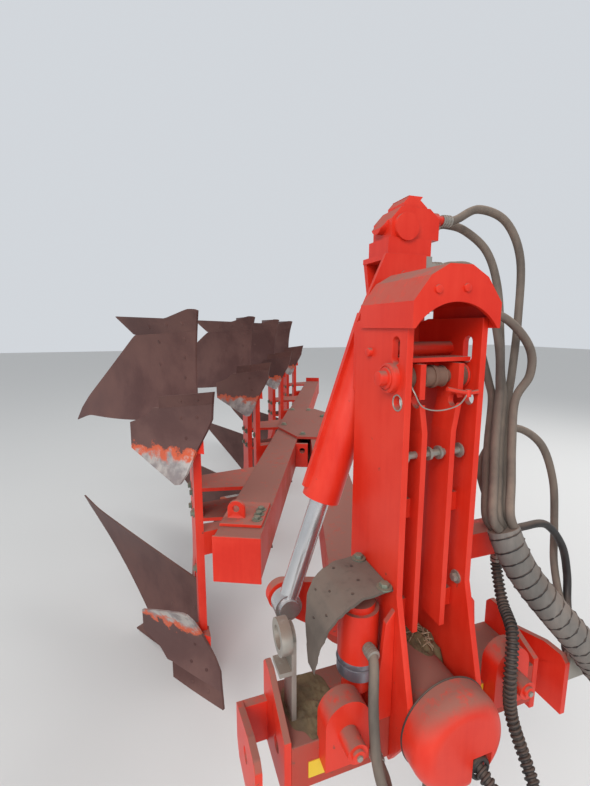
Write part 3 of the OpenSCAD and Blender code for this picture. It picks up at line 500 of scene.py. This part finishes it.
# Routes as in the part's source, in metres
HOSE_ROUTES = {
    1: [
        (0.1496, 0.173, 1.878), (0.16, 0.173, 1.878), (0.172, 0.173, 1.878), (0.196, 0.173, 1.886),
        (0.255, 0.17, 1.912), (0.335, 0.164, 1.888), (0.378, 0.152, 1.8), (0.372, 0.138, 1.65),
        (0.348, 0.12, 1.52), (0.329, 0.109, 1.438), (0.29, 0.072, 1.337), (0.256, 0.032, 1.258),
        (0.216, -0.005, 1.221), (0.219, -0.018, 1.193)],
    2: [
        (0.1496, 0.217, 1.878), (0.16, 0.217, 1.878), (0.172, 0.217, 1.878), (0.198, 0.216, 1.882),
        (0.25, 0.209, 1.87), (0.31, 0.194, 1.82), (0.334, 0.174, 1.73), (0.326, 0.144, 1.6),
        (0.312, 0.12, 1.515), (0.306, 0.1, 1.45), (0.268, 0.064, 1.35), (0.232, 0.024, 1.274),
        (0.192, -0.02, 1.222), (0.199, -0.029, 1.1934)],
    3: [
        (0.1206, 0.16, 1.768), (0.131, 0.16, 1.768), (0.143, 0.16, 1.768), (0.176, 0.16, 1.775),
        (0.232, 0.154, 1.768), (0.28, 0.138, 1.69), (0.294, 0.114, 1.58), (0.286, 0.096, 1.5),
        (0.283, 0.091, 1.462), (0.246, 0.056, 1.363), (0.211, 0.017, 1.29), (0.166, -0.031, 1.224),
        (0.1783, -0.0392, 1.1954)],
    4: [
        (0.1206, 0.195, 1.768), (0.131, 0.195, 1.768), (0.143, 0.195, 1.768), (0.172, 0.195, 1.768),
        (0.222, 0.192, 1.75), (0.258, 0.182, 1.68), (0.284, 0.158, 1.56), (0.294, 0.138, 1.49),
        (0.294, 0.124, 1.446), (0.256, 0.088, 1.345), (0.219, 0.047, 1.267), (0.181, 0.003, 1.211),
        (0.189, -0.011, 1.1847)],
    5: [
        (0.1206, 0.16, 1.68), (0.131, 0.16, 1.68), (0.143, 0.16, 1.68), (0.176, 0.153, 1.685),
        (0.222, 0.126, 1.68), (0.292, 0.09, 1.645), (0.35, 0.076, 1.58), (0.356, 0.074, 1.515),
        (0.318, 0.076, 1.454), (0.28, 0.04, 1.355), (0.245, 0.001, 1.281), (0.205, -0.039, 1.232),
        (0.209, -0.047, 1.202)],
    6: [
        (0.262, 0.04, 1.0866), (0.262, 0.04, 1.074), (0.262, 0.036, 1.04), (0.24, -0.01, 0.985),
        (0.194, -0.082, 0.974), (0.16, -0.116, 0.9), (0.164, -0.124, 0.82), (0.166, -0.17, 0.745),
        (0.14, -0.24, 0.7), (0.084, -0.262, 0.71), (0.05, -0.226, 0.762), (0.038, -0.172, 0.796),
        (0.038, -0.119, 0.8)],
    7: [
        (-0.138, -0.0428, 1), (-0.138, -0.052, 1), (-0.138, -0.062, 1), (-0.147, -0.084, 0.984),
        (-0.16, -0.108, 0.93), (-0.162, -0.126, 0.85), (-0.156, -0.142, 0.8), (-0.14, -0.136, 0.772),
        (-0.128, -0.108, 0.764), (-0.126, -0.08, 0.768), (-0.126, -0.057, 0.772)],
    8: [
        (0.2906, 0.045, 1.13), (0.303, 0.045, 1.13), (0.35, 0.048, 1.132), (0.44, 0.058, 1.118),
        (0.512, 0.062, 1.045), (0.536, 0.056, 0.96), (0.52, 0.036, 0.896), (0.478, -0.004, 0.858),
        (0.43, -0.036, 0.84), (0.418, -0.052, 0.836), (0.418, -0.064, 0.836), (0.418, -0.0753, 0.836)],
    9: [
        (0.24, 0.045, 1.1607), (0.24, 0.045, 1.172), (0.24, 0.045, 1.184), (0.24, 0.054, 1.206),
        (0.262, 0.112, 1.29), (0.35, 0.116, 1.37), (0.44, 0.1, 1.33), (0.5, 0.098, 1.22),
        (0.532, 0.104, 1.08), (0.53, 0.092, 0.975), (0.498, 0.04, 0.902), (0.463, -0.018, 0.877),
        (0.438, -0.05, 0.855), (0.438, -0.063, 0.855), (0.438, -0.0753, 0.855)],
}
SLEEVE_ROUTE = [
    (0.2, -0.03, 1.19), (0.208, -0.044, 1.153), (0.232, -0.066, 1.096), (0.28, -0.098, 1.025),
    (0.335, -0.122, 0.956), (0.39, -0.128, 0.888), (0.425, -0.128, 0.845)]


def smooth_route(points, steps=LINE_STEPS):
    """The same rounded line through the points as the part's source draws."""
    line = []
    last = len(points) - 1
    for index in range(last):
        a, b, c, d = (Vector(points[max(0, min(last, index + n))]) for n in (-1, 0, 1, 2))
        for step in range(steps):
            t = step / steps
            line.append(0.5 * (2 * b + (c - a) * t + (2 * a - 5 * b + 4 * c - d) * t * t
                               + (3 * b - a - 3 * c + d) * t * t * t))
    line.append(Vector(points[last]))
    return line


def frames_along(line):
    """At each point of a line: the point and two directions square to the line that don't spin."""
    side = Vector((0.31, 0.55, 0.77))
    frames = []
    for index, point in enumerate(line):
        ahead = (line[min(index + 1, len(line) - 1)] - line[max(index - 1, 0)]).normalized()
        side = (side - ahead * side.dot(ahead)).normalized()
        frames.append((point, side, ahead.cross(side)))
    return frames


def wound_line(line, radius, pitch):
    """Points of a spiral round a line, for a wrap."""
    frames = frames_along(line)
    spiral = []
    gone = 0.0
    for (here, side, over), (there, next_side, next_over) in zip(frames, frames[1:]):
        step = (there - here).length
        parts = max(1, round(step / pitch * TURN_POINTS))
        for part in range(parts):
            t = part / parts
            turn = 2 * math.pi * (gone + step * t) / pitch
            spiral.append(here.lerp(there, t) + side.lerp(next_side, t) * radius * math.cos(turn)
                          + over.lerp(next_over, t) * radius * math.sin(turn))
        gone += step
    return spiral


def add_hose_line(name, line, radius, material, round_steps):
    """One bent round bar as a curve, which keeps its own centre line."""
    curve = bpy.data.curves.new(name, "CURVE")
    curve.dimensions = "3D"
    curve.bevel_depth = radius
    curve.bevel_resolution = round_steps
    curve.use_fill_caps = True
    spline = curve.splines.new("POLY")
    spline.points.add(len(line) - 1)
    for target, point in zip(spline.points, line):
        target.co = (*point, 1)
    spline.use_smooth = True
    curve.materials.append(material)
    piece = bpy.data.objects.new(name, curve)
    bpy.context.scene.collection.objects.link(piece)
    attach(piece, "headstock")
    return piece


def add_ferrule(bm, place, way):
    """A pressed hose end with three rims, which grows along the hose."""
    way = way.normalized()
    add_disc(bm, place - way * 0.0004, way, radius=0.0128, height=0.026, sides=20, bevel=0.0012)
    for rim in (0.005, 0.012, 0.019):
        add_disc(bm, place + way * rim, way, radius=0.0136, height=0.0028, sides=20)


ferrules = bmesh.new()
for number, points in HOSE_ROUTES.items():
    line = smooth_route(points)
    material = BLACK_HOSE if number in BLACK_HOSES else HOSE_RUBBER
    piece = add_hose_line(f"rubber_hose_{number}", line, HOSE_RADIUS, material, round_steps=3)
    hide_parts(f"hose_{number}")
    add_ferrule(ferrules, line[0], line[1] - line[0])
    if number > SLEEVED_HOSES:
        add_ferrule(ferrules, line[-1], line[-2] - line[-1])
add_piece("pressed_hose_ends", ferrules, ZINC, "headstock")

sleeve_line = smooth_route(SLEEVE_ROUTE)
sleeve = add_hose_line("woven_hose_sleeve", sleeve_line, SLEEVE_RADIUS, SLEEVE_GREY, round_steps=6)
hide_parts("hose_sleeve")

spiral = wound_line(smooth_route(HOSE_ROUTES[CAP_HOSE]), HOSE_RADIUS + 0.0012, pitch=0.0098)
add_hose_line("spiral_hose_wrap", spiral, 0.003, BLACK_HOSE, round_steps=1)
spiral = wound_line(sleeve_line, SLEEVE_RADIUS + 0.0004, pitch=0.026)
add_hose_line("sleeve_wrap", spiral, 0.0019, BLACK_HOSE, round_steps=1)


# Curved boards

MOLD_START = 0.009
SKIM_START = 0.006
# Outlines through corners, as distance from the shin and height
MOLD_LOWER = [(0, SEAM_Z), NOTCH, (MOLD_W - 0.05, TAIL_LOW - 0.04), (MOLD_W, TAIL_LOW + 0.035),
              (TAIL_TIP, TAIL_TIP_Z - 0.004)]
SHARE_LOWER = [(0, 0), (0.045, 0), (0.125, 0.034), (WING_W, 0.02)]
SKIM_LOWER = [(0, 0), (SKIM_EDGE_W, SKIM_RISE), (0.185, 0.078), (0.215, 0.118), (SKIM_TIP, 0.15)]
SKIM_UPPER = [(0, 0.085), (0.022, 0.15), (0.06, 0.232), (0.092, 0.3), (0.115, 0.332), (0.13, 0.336),
              (0.2, 0.292), (SKIM_TIP, 0.245)]
WING_TOP = 0.024
TAIL_SWEEP = 0.07
MOLD_BOLTS = [(0.05, 0.12), (0.05, 0.2), (0.05, 0.29), (0.15, 0.135), (0.15, 0.24)]
SHARE_BOLTS = [(0.06, 0.055), (0.12, 0.06), (0.19, 0.07)]
SKIM_BOLTS = [(0.05, 0.098), (0.1, 0.108), (0.085, 0.18)]
SKIM_SHARE_BOLTS = [(0.05, 0.035), (0.1, 0.045)]


def mold_back(x, z):
    """How far back the main board's face lies."""
    return 1.35 * x + 0.45 * x * x + HOLLOW * (1 - ((z - HOLLOW_Z) / HOLLOW_Z) ** 2)


def skim_back(x, z):
    """How far back the skimmer's face lies."""
    return 0.8 * x + 0.6 * x * x + SKIM_HOLLOW * (1 - ((z - SKIM_H / 2) / (SKIM_H / 2)) ** 2)


def along(x, corners):
    """Height at x on a straight-sided outline through corners."""
    for (x0, z0), (x1, z1) in zip(corners, corners[1:]):
        if x <= x1:
            return mix(z0, z1, (x - x0) / (x1 - x0))
    return corners[-1][1]


def mold_low(x):
    return along(x, MOLD_LOWER)


def mold_high(x):
    crown = 0.018 * math.sin(math.pi * min(1, x / MOLD_W))
    tip = max(0.0, (x - MOLD_W + TAIL_SWEEP) / (TAIL_TIP - MOLD_W + TAIL_SWEEP))
    return mix(SHIN_H, TAIL_H, min(1, x / MOLD_W)) + crown + (TAIL_TIP_Z - TAIL_H) * tip ** 1.6


def share_low(x):
    rounding = 0.014 * max(0.0, 1 - x / 0.028) ** 2
    return along(x, SHARE_LOWER) + rounding


def share_high(x):
    if x <= NOTCH[0]:
        return mold_low(x) - SEAM_GAP
    return mix(NOTCH[1], WING_TOP, (x - NOTCH[0]) / (WING_W - NOTCH[0]))


def skim_low(x):
    return along(x, SKIM_LOWER)


def skim_seam(x):
    if x <= SKIM_EDGE_W:
        return skim_low(x) + SKIM_SEAM
    return max(skim_low(x), SKIM_RISE + SKIM_SEAM)


def skim_share_high(x):
    return skim_seam(x) - SEAM_GAP


def skim_high(x):
    return along(x, SKIM_UPPER)


def body_place(k):
    return NOSE + ALONG_BEAM * BODY_STEP * k


def add_board(bm, start, end, low, high, back, origin, upside, across, up):
    """A curved sheet over a grid, from start to end across and from its low to its high edge.

    back gives how far back its face lies, upside turns it over the turnover axis, and across and up are
    the grid's steps each way."""
    before = set(bm.verts)
    bmesh.ops.create_grid(bm, x_segments=across, y_segments=up, size=0.5)
    front = [v for v in bm.verts if v not in before]
    for v in front:
        x = mix(start, end, v.co.x + 0.5)
        z = mix(low(x), high(x), v.co.y + 0.5)
        v.co = Vector((-x, back(x, z), z)) + origin
    # The extrusion leaves the grid's faces in front and closes the sheet with their copies behind
    grown = bmesh.ops.extrude_face_region(bm, geom=list({f for v in front for f in v.link_faces}))
    rear = [g for g in grown["geom"] if isinstance(g, bmesh.types.BMVert)]
    bmesh.ops.translate(bm, verts=rear, vec=SHEET_BACK * BOARD_T)
    if upside:
        for v in front + rear:
            v.co.z = 2 * AXIS_Z - v.co.z


def board_point(x, z, back, origin, upside):
    """A point on a board's face and the way it looks out, for a bolt head."""
    reach = 0.002
    here = Vector((-x, back(x, z), z))
    right = Vector((-x - reach, back(x + reach, z), z)) - here
    above = Vector((-x, back(x, z + reach), z + reach)) - here
    normal = above.cross(right).normalized()
    if normal.y > 0:
        normal = -normal
    here = here + origin
    if upside:
        here.z = 2 * AXIS_Z - here.z
        normal.z = -normal.z
    return here, normal


def add_plough_bolts(bm, spots, back, origin, upside, radius):
    """Round countersunk heads that stand a little out of a board's face."""
    for x, z in spots:
        here, normal = board_point(x, z, back, origin, upside)
        add_disc(bm, here - normal * 0.003, normal, radius, height=0.0042, sides=20, bevel=0.0008)


for k in range(BODY_COUNT):
    place = body_place(k)
    skim_place = place + SKIM_ORIGIN
    molds, shares, skims, heads = (bmesh.new() for _ in range(4))
    for upside in (False, True):
        add_board(molds, MOLD_START, TAIL_TIP, mold_low, mold_high, mold_back, place, upside, 40, 18)
        add_board(shares, MOLD_START, WING_W, share_low, share_high, mold_back, place, upside, 30, 5)
        add_board(shares, SKIM_START, SKIM_EDGE_W - 0.002, skim_low, skim_share_high, skim_back, skim_place,
                  upside, 14, 4)
        add_board(skims, SKIM_START, SKIM_TIP, skim_seam, skim_high, skim_back, skim_place, upside, 34, 12)
        add_plough_bolts(heads, MOLD_BOLTS + SHARE_BOLTS, mold_back, place, upside, radius=0.009)
        add_plough_bolts(heads, SKIM_BOLTS + SKIM_SHARE_BOLTS, skim_back, skim_place, upside, radius=0.0065)
    number = k + 1
    piece = add_piece(f"boards_main_{number}", molds, BOARD_RUST, "turnover")
    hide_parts(f"moldboards_{number}")
    piece = add_piece(f"share_edges_{number}", shares, SHARE_STEEL, "turnover")
    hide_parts(f"shares_{number}")
    piece = add_piece(f"boards_skimmer_{number}", skims, SKIMMER_RUST, "turnover")
    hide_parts(f"skimmers_{number}")
    add_piece(f"plough_bolts_{number}", heads, SHARE_STEEL, "turnover")


# Finishes of the CAD nodes

NODE_FINISHES = [
    (RED_PAINT, [
        "mast_plates", "mast_hood", "mast_inner_bars", "mast_ribs", "cylinder_bracket", "valve_block",
        "hub_cap", "link_plates", "stop_ears", "short_cylinder", "side_valve", "stand_sleeve",
        "turnover_barrel", "turnover_crank", "beam_caps", "beam_fittings", "beam_lug", "skimmer_stems",
        "leg_1", "leg_2", "leg_3", "leg_4"]),
    # The beam, turnover head, shaft housing and cross members get the darker red, which paints shade on them
    (SHADED_DUSTY_RED, ["shaft_housing", "cross_members", "turnover_head", "beam"]),
    (ROLLER_STEEL, ["top_link_pin"]),
    (ZINC, ["catch_bracket", "hose_fittings"]),
    (CHROME_ROD, ["turnover_rod", "turnover_shaft"]),
    (SHARE_STEEL, ["landsides_1", "landsides_2", "landsides_3", "landsides_4"]),
    (STAND_GREY, ["parking_stand"]),
    (FLAP_RUBBER, ["rubber_flap"]),
]
SOFTENED_NODES = [
    "mast_hood", "mast_inner_bars", "mast_ribs", "cylinder_bracket", "cross_members", "link_plates",
    "turnover_head", "beam", "beam_caps", "beam_fittings", "beam_lug", "parking_stand", "stand_sleeve",
    "side_valve", "catch_bracket", "valve_block"]
for material, names in NODE_FINISHES:
    for name in names:
        paint(name, material)
# A wider rounding would shade the thin mast plates unevenly
soften("mast_plates", 0.0008)
for name in SOFTENED_NODES:
    soften(name)


# Headstock details

PIN_BOSS = [(0.0285, 0.0128), (0.021, 0.0165), (0.0145, 0.031)]
HOOD_RIVETS = [(-0.046, 1.694), (0.014, 1.698)]
STOP_Y = 0.068
STOP_Z = 1.579
LEVER_BAR = [(0.004, -0.058, 1.516), (0.03, -0.0605, 1.510), (0.052, -0.061, 1.506), (0.073, -0.061, 1.508)]
LEVER_KNOB = (0.05, -0.061, 1.499)
LOCK_WIRE = [(-0.073, -0.05, 1.53), (-0.071, -0.064, 1.512), (-0.055, -0.066, 1.487), (-0.02, -0.067, 1.478),
             (0.022, -0.066, 1.484), (0.042, -0.064, 1.499), (0.048, -0.061, 1.508)]
CROSS_BOLT_Y = -0.03
CROSS_BOLT_Z = 1.384
STUB_CAP = 0.006
BAND_Z = 0.9215
BAND_H = 0.024
PLATE_T = 0.0016
# The two plates' left, lower, right and upper edges
YELLOW_PLATES = [(-0.268, 0.762, -0.216, 0.798), (0.112, 0.802, 0.152, 0.838)]


def on_top_link(x):
    """A place on the top-link pin's axis."""
    return (x, TOP_LINK.y, TOP_LINK.z)


def on_cross_bolt(x):
    """A place on the axis of the bolt through the inner bars."""
    return (x, CROSS_BOLT_Y, CROSS_BOLT_Z)


# Rivets in the hood, the stop on the left mast plate, the boss and rings of the top-link pin and its lever
red_trim = bmesh.new()
for x, z in HOOD_RIVETS:
    add_disc(red_trim, (x, HOOD_FRONT, z), FORWARD, radius=0.0075, height=0.004, bevel=0.0016)
add_disc(red_trim, (-MAST_OUT, STOP_Y, STOP_Z), LEFT, radius=0.009, height=0.009, bevel=0.002)
for radius, height in PIN_BOSS:
    add_disc(red_trim, on_top_link(-MAST_OUT), LEFT, radius, height, sides=40, bevel=0.0016)
add_ring(red_trim, on_top_link(-MAST_OUT - PIN_BOSS[0][1]), RIGHT, radius=0.0245, thick=0.0016)
for x in (-0.0735, 0.0715):
    add_ring(red_trim, on_top_link(x), RIGHT, radius=0.0228, thick=0.0022)
add_tube(red_trim, LEVER_BAR, radius=0.0042, sides=14)
add_disc(red_trim, LEVER_KNOB, UP, radius=0.006, height=0.014, sides=20, bevel=0.001)
for side in (-1, 1):
    stub_end = (side * STUB_X, STUB_END, STUB_Z)
    add_disc(red_trim, stub_end, FORWARD, radius=0.0125, height=STUB_CAP, bevel=0.002)
add_piece("red_rivets_and_lever", red_trim, RED_PAINT, "headstock")

rims = bmesh.new()
for x in (-0.0235, 0.0235):
    add_ring(rims, on_top_link(x), RIGHT, radius=0.0196, thick=0.0018)
for x in (-0.06, 0.06):
    add_ring(rims, on_top_link(x), RIGHT, radius=0.0226, thick=0.0016)
add_disc(rims, on_top_link(-0.004), RIGHT, radius=0.0228, height=0.008, sides=32, bevel=0.0015)
add_piece("top_link_bush_rims", rims, ROLLER_STEEL, "headstock")

# Ring at the low hole, wire of the pin's lock, cross bolt through the inner bars, and single bolts
bright = bmesh.new()
add_ring(bright, (-MAST_OUT - 0.0004, LOW_HOLE_Y, LOW_HOLE_Z), RIGHT, radius=0.0146, thick=0.0016)
add_tube(bright, smooth_route(LOCK_WIRE, 5), radius=0.0013, sides=8)
add_tube(bright, [on_cross_bolt(-0.062), on_cross_bolt(0.0), on_cross_bolt(0.062)], radius=0.0075, sides=14)
for side in (-1, 1):
    add_disc(bright, on_cross_bolt(side * 0.062), (side, 0, 0), radius=0.015, height=0.004, bevel=0.001)
    add_disc(bright, on_cross_bolt(side * 0.012), RIGHT, radius=0.0135, height=0.006, bevel=0.001)
add_bolt(bright, (MAST_IN, -0.035, 1.105), LEFT, *THIN_BOLT)
add_bolt(bright, (-MAST_OUT, 0.062, 1.0), LEFT, *PLATE_BOLT)
for side in (-1, 1):
    add_bolt(bright, (side * STUB_X, STUB_END - STUB_CAP, STUB_Z), FORWARD, radius=0.006, height=0.004)
add_piece("bright_fastenings", bright, ZINC, "headstock")

# Steel band and its clamp ring round the short cylinder
band = bmesh.new()
band_foot = Vector((SHORT_CYLINDER_X, 0, BAND_Z))
band_top = band_foot + Vector((0, 0, BAND_H))
add_disc(band, band_foot, UP, radius=0.0432, height=BAND_H, sides=48, bevel=0.0012)
add_disc(band, band_top, UP, radius=0.0424, height=0.013, sides=48, bevel=0.0006)
add_ring(band, band_top + Vector((0, 0, 0.0003)), UP, radius=0.0432, thick=0.0013, sides=48)
add_piece("short_cylinder_band", band, BAND_STEEL, "headstock")

# Seal round the cap's rear edge, and the grommet where the wrapped hose goes into the cap
seal = bmesh.new()
add_ring(seal, (0, HUB_REAR, AXIS_Z), REARWARD, radius=HUB_RADIUS - 0.0004, thick=0.0022, sides=72)
add_ring(seal, HUB_OPENING, (0, -1, 0.075), radius=0.0185, thick=0.0045)
add_piece("hub_cap_seal", seal, BLACK_HOSE, "headstock")

plates = bmesh.new()
for x0, z0, x1, z1 in YELLOW_PLATES:
    add_block(plates, (x0, CROSS_FRONT - PLATE_T, z0), (x1, CROSS_FRONT, z1))
add_piece("blank_yellow_plates", plates, YELLOW_PLATE, "headstock")


# Rubber flap that hangs from the mast over the short cylinder

# Its middle line as x and z, and its two edges as share of the way out and y
FLAP_LINE = [(-0.0895, 1.1205), (-0.12, 1.1225), (-0.155, 1.1215), (-0.19, 1.1155), (-0.217, 1.1015),
             (-0.237, 1.0785), (-0.2505, 1.048), (-0.2565, 1.015), (-0.2575, 0.986)]
FLAP_NEAR = [(0.0, -0.048), (0.25, -0.056), (0.45, -0.064), (0.6, -0.066), (0.72, -0.062), (0.85, -0.06),
             (1.0, -0.05)]
FLAP_FAR = [(0.0, 0.084), (0.25, 0.078), (0.45, 0.064), (0.6, 0.046), (0.72, 0.02), (0.85, -0.008),
            (1.0, -0.022)]
FLAP_THICKNESS = (0.0025, 0, -0.005)
# Holes in the flap, as share of the way out and from the near to the far edge, where black discs paint the
# shade seen through them
HOLE_SHADE_SPOTS = [(0.17, 0.75), (0.3, 0.86), (0.3, 0.18), (0.43, 0.5), (0.52, 0.8), (0.56, 0.22), (0.2, 0.4),
           (0.66, 0.55)]
FLAP_BOLTS = [(0.055, 0.9), (0.055, 0.08)]


def flap_point(u, v):
    """A point of the flap, from the mast outward by u and from its near to its far edge by v."""
    place = u * (len(FLAP_LINE) - 1)
    index = min(int(place), len(FLAP_LINE) - 2)
    (x0, z0), (x1, z1) = FLAP_LINE[index], FLAP_LINE[index + 1]
    x, z = mix(x0, x1, place - index), mix(z0, z1, place - index)
    ragged = 0.004 * wobble.noise((u * 14, 0.3, 1.7)) + 0.002 * wobble.noise((u * 41, 2.3, 0.7))
    near = along(u, FLAP_NEAR) + ragged * min(1, u * 4)
    far = along(u, FLAP_FAR) + 0.5 * ragged * min(1, u * 4)
    y = mix(near, far, v)
    ripple = 0.0022 * wobble.noise((x * 24, y * 24, 3.1)) * min(1, u * 5)
    return Vector((x, y, z + ripple))


def sunk_in_flap(u, v, depth):
    return flap_point(u, v) - Vector((0, 0, depth))


flap = bmesh.new()
bmesh.ops.create_grid(flap, x_segments=48, y_segments=30, size=0.5)
for v in flap.verts:
    v.co = flap_point(v.co.x + 0.5, v.co.y + 0.5)
below = bmesh.ops.extrude_face_region(flap, geom=list(flap.faces))
underside = [g for g in below["geom"] if isinstance(g, bmesh.types.BMVert)]
bmesh.ops.translate(flap, verts=underside, vec=FLAP_THICKNESS)
piece = add_piece("hanging_rubber_flap", flap, FLAP_RUBBER, "headstock")
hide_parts("rubber_flap")
# Black discs sunk into the flap: painted shade standing in for its holes
hole_shade_spots = bmesh.new()
for u, v in HOLE_SHADE_SPOTS:
    add_disc(hole_shade_spots, sunk_in_flap(u, v, 0.0008), UP, radius=0.0034, height=0.0014, sides=12)
add_piece("flap_hole_shade_spots", hole_shade_spots, BLACK_HOSE, "headstock")
flap_bolts = bmesh.new()
for u, v in FLAP_BOLTS:
    add_bolt(flap_bolts, sunk_in_flap(u, v, 0.0004), UP, *FLAP_BOLT)
add_piece("flap_bolts", flap_bolts, GREEN_BOLT, "headstock")


# Moss and dead plants that lie on the left cross member and on the shaft housing

HEAP_GRID = 44
WEDGE_RIGHT = 0.905
WEDGE_LEFT = 0.9
TWIG_COUNT = 26
TWIG_RADIUS = 0.0011
TWIG_MIDDLE = Vector((0.04, 0.035, 0))


def add_litter(bm, centre, reach, height, bulge, filled, lowest, highest):
    """A low heap with an uneven outline and top, kept between its lowest and highest x and y.

    bulge gives the height of what it lies on, and hollows in that are filled up to a height."""
    before = set(bm.verts)
    bmesh.ops.create_grid(bm, x_segments=HEAP_GRID, y_segments=HEAP_GRID, size=1.0)
    for v in [v for v in bm.verts if v not in before]:
        x, y = v.co.x, v.co.y
        # The square grid is drawn in to a round one
        square = max(abs(x), abs(y))
        length = math.hypot(x, y)
        if length > 0:
            x, y = x * square / length, y * square / length
        angle = math.atan2(y, x)
        uneven = 1 + 0.28 * wobble.noise((math.cos(angle) * 1.7, math.sin(angle) * 1.7, centre[0] * 9))
        x = min(max(centre[0] + x * reach[0] * uneven, lowest[0]), highest[0])
        y = min(max(centre[1] + y * reach[1] * uneven, lowest[1]), highest[1])
        rough = 0.65 + 0.7 * wobble.noise((x * 60, y * 60, 0.5)) + 0.3 * wobble.noise((x * 170, y * 170, 4.5))
        inward = max(0.0, 1 - square ** 2)
        base = mix(bulge(x), max(bulge(x), filled), min(1, 3 * inward))
        v.co = Vector((x, y, base + 0.0006 + height * inward ** 0.6 * max(0.12, rough)))


def cross_member_top(x):
    return CROSS_TOP


def housing_top(x):
    return AXIS_Z + math.sqrt(max(0.0, HOUSING_RADIUS ** 2 - x ** 2)) - 0.0015


litter = bmesh.new()
add_litter(litter, centre=(-0.232, 0.022), reach=(0.062, 0.078), height=0.007, bulge=cross_member_top,
           filled=CROSS_TOP, lowest=(-0.3, -0.052), highest=(-0.165, 0.098))
add_litter(litter, centre=(0.045, 0.035), reach=(0.045, 0.06), height=0.02, bulge=housing_top,
           filled=WEDGE_RIGHT, lowest=(-0.01, -0.04), highest=(0.0745, 0.12))
add_litter(litter, centre=(-0.05, 0.06), reach=(0.035, 0.05), height=0.012, bulge=housing_top,
           filled=WEDGE_LEFT, lowest=(-0.0745, -0.02), highest=(0.0, 0.12))
add_piece("moss_and_litter", litter, MOSS, "headstock")
twigs = bmesh.new()
for index in range(TWIG_COUNT):
    turn = index * 2.4
    away = 0.012 + 0.028 * ((index * 7) % 10) / 10
    middle = TWIG_MIDDLE + Vector((0.6 * away * math.cos(turn), away * 1.3 * math.sin(turn), 0.0))
    middle.z = max(housing_top(middle.x), WEDGE_RIGHT) + 0.014 + 0.006 * ((index * 3) % 5) / 5
    way = Vector((math.cos(turn * 1.7), math.sin(turn * 1.7), 0.25 * math.sin(index * 1.3)))
    half = 0.012 + 0.014 * ((index * 5) % 7) / 7
    bend = Vector((0, 0, 0.004 * math.sin(index)))
    add_tube(twigs, [middle - way * half, middle + bend, middle + way * half], TWIG_RADIUS, sides=6)
add_piece("straw_twigs", twigs, STRAW, "headstock")


# Bolts of the turned part

PAD_TOP = 0.092
HEAD_PLATE = 0.0952
PAD_BOLTS = [(0.048, 0.11), (0.048, 0.15), (0.048, 0.19)]
HEAD_BOLTS = [(-0.045, 1.56), (0.11, 1.31), (0.225, 1.31), (0.235, 1.56), (0.215, 1.85), (0.09, 2.09),
              (-0.045, 2.09)]
LEG_LEFT = -0.042
LEG_RIGHT = -0.012
CLAMP_LEFT = -0.065
CLAMP_Y = -0.176


def on_beam(across, length, height):
    """A point given from the beam's front end, in metres across, along and above it."""
    return BEAM_FRONT + ACROSS_BEAM * across + ALONG_BEAM * length + Vector((0, 0, height))


beam_bolts = bmesh.new()
for across, length in PAD_BOLTS:
    add_bolt(beam_bolts, on_beam(across, length, PAD_TOP), UP, *PAD_BOLT)
for across, length in HEAD_BOLTS:
    for side in (-1, 1):
        add_bolt(beam_bolts, on_beam(across, length, side * HEAD_PLATE), (0, 0, side), *HEAD_BOLT)
for k in range(BODY_COUNT):
    place = body_place(k)
    for y in (0.165, 0.255):
        for z in (AXIS_Z - 0.05, AXIS_Z + 0.05):
            add_bolt(beam_bolts, place + Vector((LEG_LEFT, y, z)), LEFT, *LEG_BOLT)
            add_bolt(beam_bolts, place + Vector((LEG_RIGHT, y, z)), RIGHT, *LEG_BOLT)
    for z in (AXIS_Z - 0.11, AXIS_Z + 0.11):
        add_bolt(beam_bolts, place + Vector((CLAMP_LEFT, CLAMP_Y, z)), LEFT, *PLATE_BOLT)
add_piece("turned_part_bolts", beam_bolts, GREEN_BOLT, "turnover")
